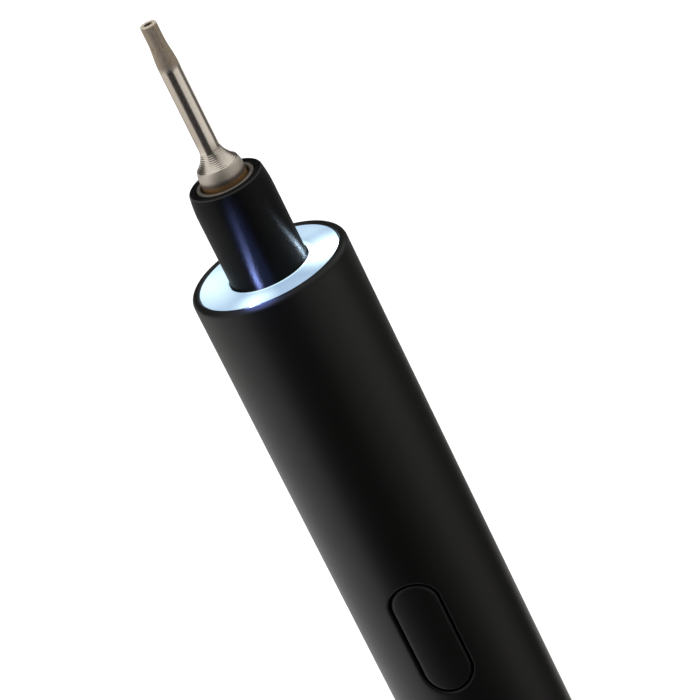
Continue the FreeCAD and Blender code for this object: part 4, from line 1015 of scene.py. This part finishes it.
def flare_profile():
    """The bit's flare: a hollow slope with fine turned grooves that fade towards the shaft."""
    slope = Vector((FLARE_START - FLARE_END, SHAFT_RADIUS - FLARE_RADIUS)).normalized()
    profile = []
    for share in stepped(0, 1, GROOVES * GROOVE_STEPS)[1:]:
        radius = FLARE_RADIUS + (SHAFT_RADIUS - FLARE_RADIUS) * share
        z = FLARE_START + (FLARE_END - FLARE_START) * share
        cut = GROOVE_DEPTH * (0.5 - 0.5 * cos(2 * pi * GROOVES * share))
        inward = 4 * FLARE_BOW * share * (1 - share) + cut * min(1.0, GROOVE_FADE * (1 - share))
        profile.append((radius + slope.x * inward, z + slope.y * inward))
    return profile


def tip_profile():
    """The bit's taper and tip, with extra rows where the flutes begin."""
    heights = stepped(TAPER_START, TAPER_END, TAPER_STEPS) + [*TIP_ROWS, BIT_END - TIP_ROUND]
    first_cut = FLUTE_START - FLUTE_RADIUS
    heights += [first_cut + depth for _, depth in rounding(FLUTE_RADIUS)]
    profile = []
    for z in sorted(set(heights)):
        share = min((z - TAPER_START) / (TAPER_END - TAPER_START), 1.0)
        profile.append((SHAFT_RADIUS - (SHAFT_RADIUS - TIP_RADIUS) * soft_share(share), z))
    return profile + leaning(profile[-1], (TIP_RADIUS - TIP_ROUND, BIT_END), TIP_ROUND_STEPS)


def make_bit():
    """A hex shank, a collar, a grooved flare, a slim shaft and a fluted, drilled tip."""
    bulge = leaning(COLLAR_PROFILE[-1], (FLARE_RADIUS, FLARE_START), BULGE_STEPS)
    shaft = [(SHAFT_RADIUS, z) for z in SHAFT_ROWS]
    rings = [[(0, 0, SHANK_PROFILE[0][1])]]
    rings += [hexagon(BIT_FLATS, z, BIT_POINTS, radius, BIT_CORNER) for radius, z in SHANK_PROFILE]
    rings += [bit_ring(*row) for row in COLLAR_PROFILE + bulge + flare_profile() + shaft + tip_profile()]
    rings += [circle(radius, z, BIT_POINTS) for radius, z in HOLE_PROFILE]
    rings.append([(0, 0, HOLE_POINT)])
    installed(from_faces("bit_turning", skin(rings), crease=BIT_CREASE), "bit")


# Bearing balls and charging contacts

BALLS = 7
BALL_ORBIT = 3.0
BALL_RADIUS = 0.55
BALL_HEIGHT = 116.7
FINGERS = 12
FINGER_PITCH = 0.5
FINGER_START = -2.75
# across and away from the tongue's middle, then heights and how far each end stands up
FINGER_FOOT = 0.35
FINGER_SECTION = [(-0.125, 0.35), (0.125, 0.35), (0.125, 0.37), (0.085, 0.41), (-0.085, 0.41),
                  (-0.125, 0.37)]
FINGER_STATIONS = [(2.7, 0.3), (2.9, 1.0), (6.3, 1.0)]


def make_balls():
    balls = built("bearing_ball_row", [])
    run_tree(balls, ball_tree(), "bearing_balls", balls=BALLS, orbit=BALL_ORBIT * MM,
             ball_radius=BALL_RADIUS * MM, height=BALL_HEIGHT * MM, turn=pi / BALLS)
    installed(balls, "bearing_balls")


def make_contacts():
    """Gold fingers on the tongue, each with an eased top and a sloping lead."""
    rings = [[(x, FINGER_FOOT + (y - FINGER_FOOT) * share, z) for x, y in FINGER_SECTION]
             for z, share in FINGER_STATIONS]
    fingers = from_faces("charging_contacts", skin(rings) + [rings[0], rings[-1]])
    run_tree(fingers, contact_tree(), "usb_contacts", fingers=FINGERS, pitch=FINGER_PITCH * MM,
             start=FINGER_START * MM)
    installed(fingers, "usb_contacts")


# Rotor coils and flat cable

POLES = 3
COIL_TURNS = 6
WIRE_RADIUS = 0.112
COIL_START = 1.55
COIL_PITCH = 0.235
COIL_BEND = 0.3
COIL_LAYERS = {0.37: 0.3, 0.13: 0.55}
CROSSING = [0.5, 0.25, 0.0, -0.25, -0.5]
CORE_REAR = 83.7
CORE_FRONT = 97.7
CABLE_SECTION = [(-1.5, 0.0), (1.5, 0.0), (1.5, 0.15), (-1.5, 0.15)]
CABLE_WALL = -6.95
CABLE_BOARD = -5.95
CABLE_TOP = 120.0
CABLE_ROW = 110.0
CABLE_BEND = 99.4
CABLE_LANDING = 96.4
CABLE_END = 93.4
CABLE_STEPS = 16


def coil_path(side, rise):
    """A pole's wire, wound outwards, at a distance from the slot's middle and a rise past the core."""
    low = CORE_REAR - rise
    high = CORE_FRONT + rise
    points = []
    for turn in range(COIL_TURNS):
        reach = COIL_START + COIL_PITCH * turn
        half = pi / POLES - asin(side / reach)
        width = half * reach
        corners = []
        for across, start, end in ((width, low, high), (-width, high, low)):
            corners += [(across, start, COIL_BEND), (across, end, COIL_BEND)]
            corners += [(across * share, end, 0) for share in CROSSING]
        outline = eased(corners)
        for i, (across, z) in enumerate(outline):
            x, y = polar(reach + COIL_PITCH * i / len(outline), pi / POLES + across / reach)
            points.append((x * MM, y * MM, z * MM))
    return points


def make_coils():
    points, edges = [], []
    for side, rise in COIL_LAYERS.items():
        path = coil_path(side, rise)
        edges += [(len(points) + i, len(points) + i + 1) for i in range(len(path) - 1)]
        points += path
    coils = built("rotor_coils", points, edges)
    run_tree(coils, coil_tree(), "rotor_winding", poles=POLES, pole_step=2 * pi / POLES,
             wire_radius=WIRE_RADIUS * MM)
    installed(coils, "rotor_winding")


def make_flat_cable():
    """A thin cable down the bore's wall that bends over smoothly onto the main board."""
    stations = [(CABLE_WALL, CABLE_TOP), (CABLE_WALL, CABLE_ROW)]
    for share in stepped(0, 1, CABLE_STEPS):
        y = CABLE_WALL + (CABLE_BOARD - CABLE_WALL) * soft_share(share)
        stations.append((y, CABLE_BEND + (CABLE_LANDING - CABLE_BEND) * share))
    stations.append((CABLE_BOARD, CABLE_END))
    rings = [[(x, y + layer, z) for x, layer in CABLE_SECTION] for y, z in stations]
    installed(from_faces("flat_cable", skin(rings) + [rings[0], rings[-1]]), "led_ribbon")


make_barrel()
for button, button_height in BUTTON_HEIGHTS.items():
    make_button(button, button_height)
make_tail_cap()
make_nose()
make_light_ring()
make_spindle()
make_bit()
make_balls()
make_contacts()
make_coils()
make_flat_cable()

for node_name, part in frame["nodes"].items():
    painted(part, node_name)


# Camera

VIEW_TURN = 13.4
VIEW_RISE = 25.597
VIEW_ROLL = -26.173
VIEW_DISTANCE = 315.263
VIEW_ACROSS = 7.677
VIEW_UP = -7.826
LENS = 172.148


def add_camera():
    rise, roll = radians(VIEW_RISE), radians(VIEW_ROLL)
    back = Vector((0, -cos(rise), sin(rise)))
    right = Vector((1, 0, 0))
    up = back.cross(right)
    across = right * cos(roll) + up * sin(roll)
    upward = up * cos(roll) - right * sin(roll)
    spot = (back * VIEW_DISTANCE + across * VIEW_ACROSS + upward * VIEW_UP) * MM
    axes = Matrix((across, upward, back)).transposed().to_4x4()
    lens = bpy.data.cameras.new("photo_camera")
    lens.lens = LENS
    lens.clip_start = 0.01
    lens.clip_end = 100.0
    camera = linked("photo_camera", lens)
    centre = Matrix.Translation((0, 0, RING_PLANE * MM))
    turn = Matrix.Rotation(radians(VIEW_TURN), 4, "Z")
    camera.matrix_world = centre @ turn @ Matrix.Translation(spot) @ axes
    scene.camera = camera


# Stage: floor, surround, dark cards and lamps, in metres

FLOOR_SIZE = 6.0
FLOOR_DROP = 0.0002
FLOOR_PALE = (0.78, 0.78, 0.78, 1.0)
FLOOR_LIFT = 0.4
SURROUND_LIGHT = 0.8
CARD_STEPS = 16
CARD_LIFT = 0.0004
CARD_TINT = (1, 0.97, 0.92, 1)
CARDS = {
    # name: first and last angle from the camera, near and far edge, brightness, foot and top of a wall
    "front": (-58, 16, 0.03, 0.28, 0),
    "front_far": (-56, 16, 0.28, 0.5, 0.05, 0, 0.36),
    "front_raised": (-20, 25, 0.5, 0.5, 0.05, 0.36, 0.55),
    "front_high": (5, 55, 0.5, 0.5, 0.05, 0.55, 1.1),
    "left_back": (-150, -100, 0.5, 0.5, 0.12, 0.2, 0.5),
    "front_right": (16, 52, 0.03, 0.27, 0),
    "right": (52, 95, 0.03, 0.27, 0.46),
    "right_nose": (30, 88, 0.27, 0.335, 1.5),
    "far_right": (95, 134, 0.03, 0.335, 0.05),
    "far_right_wall": (84, 134, 0.335, 0.5, 0.15, 0, 0.15),
    "right_edge": (134, 152, 0.15, 0.255, 0.08),
    "right_edge_low": (134, 146, 0.03, 0.15, 0.1),
    "right_rim": (152, 180, 0.15, 0.255, 1.1),
    "right_rim_low": (146, 180, 0.03, 0.15, 1.6),
    "right_nose_edge": (134, 170, 0.255, 0.34, 0.08),
    "right_edge_far": (134, 170, 0.42, 0.5, 0.1, 0, 0.1),
    "right_wall": (16, 84, 0.5, 0.5, 0.42, 0, 0.36),
    "back": (134, 250, 0.5, 0.5, 0.08, 0.1, 0.7),
    "left_nose": (-180, -58, 0.262, 0.3, 0.5),
    "left_high": (-132, -58, 0.3, 0.33, 0.1),
    "left_step": (-132, -56, 0.33, 0.37, 0.76),
    "left_far": (-132, -56, 0.37, 0.6, 0.86),
    "left_edge": (-180, -132, 0.3, 0.35, 0),
    "left_edge_far": (-180, -132, 0.35, 0.6, 0.6),
}
RING_LAMPS = {
    # name: angle about the axis, distance from it, height over the ring and radius in mm, power and colour
    "front_ring_lamp": (-106, 5.7, 0.5, 0.4, 0.0038, (0.32, 0.42, 1)),
    "front_glow_lamp": (-97, 7.4, 1.2, 3.3, 0.0035, (0.22, 0.32, 1)),
    "right_ring_lamp": (8, 5.8, 0.1, 0.35, 0.0014, (0.6, 0.8, 1)),
}
SOFTBOX_SPOT = Vector((-0.7, 0.35, 0.6))
SOFTBOX_TARGET = Vector((0, 0, 0.08))
SOFTBOX_SIZE = (0.5, 0.8)
SOFTBOX_POWER = 4.0


def seen_directly(tree):
    """One for rays from the camera, off a glossy surface or through a clear one."""
    path = tree.nodes.new("ShaderNodeLightPath").outputs
    direct = math_node(tree, "MAXIMUM", path["Is Camera Ray"], path["Is Glossy Ray"])
    return math_node(tree, "MAXIMUM", direct, path["Is Transmission Ray"])


def add_floor():
    """A pale floor that looks white and still takes a shadow; from below it isn't seen."""
    corners = [(-1, -1), (1, -1), (1, 1), (-1, 1)]
    points = [(x * FLOOR_SIZE, y * FLOOR_SIZE, -FLOOR_DROP) for x, y in corners]
    floor = built("floor", points, faces=[(0, 1, 2, 3)])
    paint, tree, shader = new_finish("floor_white")
    paint.cycles.emission_sampling = "NONE"
    tree.nodes.remove(shader)
    pale = add_node(tree, "ShaderNodeBsdfDiffuse", {"Color": FLOOR_PALE})
    lift = product(tree, seen_directly(tree), FLOOR_LIFT)
    glow = add_node(tree, "ShaderNodeEmission", {"Strength": lift})
    lit = add_node(tree, "ShaderNodeAddShader", {0: pale, 1: glow})
    clear = tree.nodes.new("ShaderNodeBsdfTransparent")
    from_below = tree.nodes.new("ShaderNodeNewGeometry").outputs["Backfacing"]
    sides = add_node(tree, "ShaderNodeMixShader", {"Fac": from_below, 1: lit, 2: clear})
    feed(tree, tree.nodes["Material Output"], {"Surface": sides})
    floor.data.materials.append(paint)


def add_surround():
    world = bpy.data.worlds.new("studio")
    scene.world = world
    world.use_nodes = True
    world.cycles.sampling_method = "NONE"
    tree = world.node_tree
    strength = blended(tree, seen_directly(tree), SURROUND_LIGHT, 1.0)
    feed(tree, tree.nodes["Background"], {"Color": (1, 1, 1, 1), "Strength": strength})


def add_card(name, first, last, near, far, level, foot=0, top=0):
    """A card round part of the set, on the floor and turned up at its end, seen only in reflections."""
    profile = [(near, CARD_LIFT), (far, CARD_LIFT)] if far > near else []
    if top > foot:
        profile += [(far, max(foot, 2 * CARD_LIFT)), (far, top)]
    turns = [radians(VIEW_TURN + angle) for angle in stepped(first, last, CARD_STEPS)]
    points = [(*from_front(radius, turn), z) for turn in turns for radius, z in profile]
    row = len(profile)
    faces = [(row * i + j, row * i + j + 1, row * (i + 1) + j + 1, row * (i + 1) + j)
             for i in range(CARD_STEPS) for j in range(row - 1)]
    card = built(name, points, faces=faces)
    paint, tree, shader = new_finish(name)
    paint.cycles.emission_sampling = "NONE"
    feed(tree, shader, {"Base Color": (0, 0, 0, 1), "Specular IOR Level": 0.0,
                        "Emission Color": CARD_TINT, "Emission Strength": level})
    card.data.materials.append(paint)
    card.visible_camera = False
    card.visible_diffuse = False
    card.visible_shadow = False
    card.visible_transmission = False


def add_ring_lamp(name, angle, distance, rise, size, power, colour):
    """A small lamp at the light ring, for the streaks it throws up the nose."""
    lamp = bpy.data.lights.new(name, "POINT")
    lamp.energy = power
    lamp.color = colour
    lamp.shadow_soft_size = size * MM
    spot = linked(name, lamp)
    spot.location = ring_spot(angle, distance, rise)
    spot.visible_camera = False
    spot.visible_diffuse = False


def add_softbox():
    """A wide lamp on the left that lights the floor and isn't mirrored in the barrel."""
    lamp = bpy.data.lights.new("left_softbox", "AREA")
    lamp.shape = "RECTANGLE"
    lamp.size, lamp.size_y = SOFTBOX_SIZE
    lamp.energy = SOFTBOX_POWER
    box = linked("left_softbox", lamp)
    box.visible_glossy = False
    box.location = SOFTBOX_SPOT
    box.rotation_mode = "QUATERNION"
    box.rotation_quaternion = (SOFTBOX_TARGET - SOFTBOX_SPOT).to_track_quat("-Z", "Y")


add_camera()
add_floor()
add_surround()
for card_name, layout in CARDS.items():
    add_card(card_name + "_card", *layout)
for lamp_name, layout in RING_LAMPS.items():
    add_ring_lamp(lamp_name, *layout)
add_softbox()
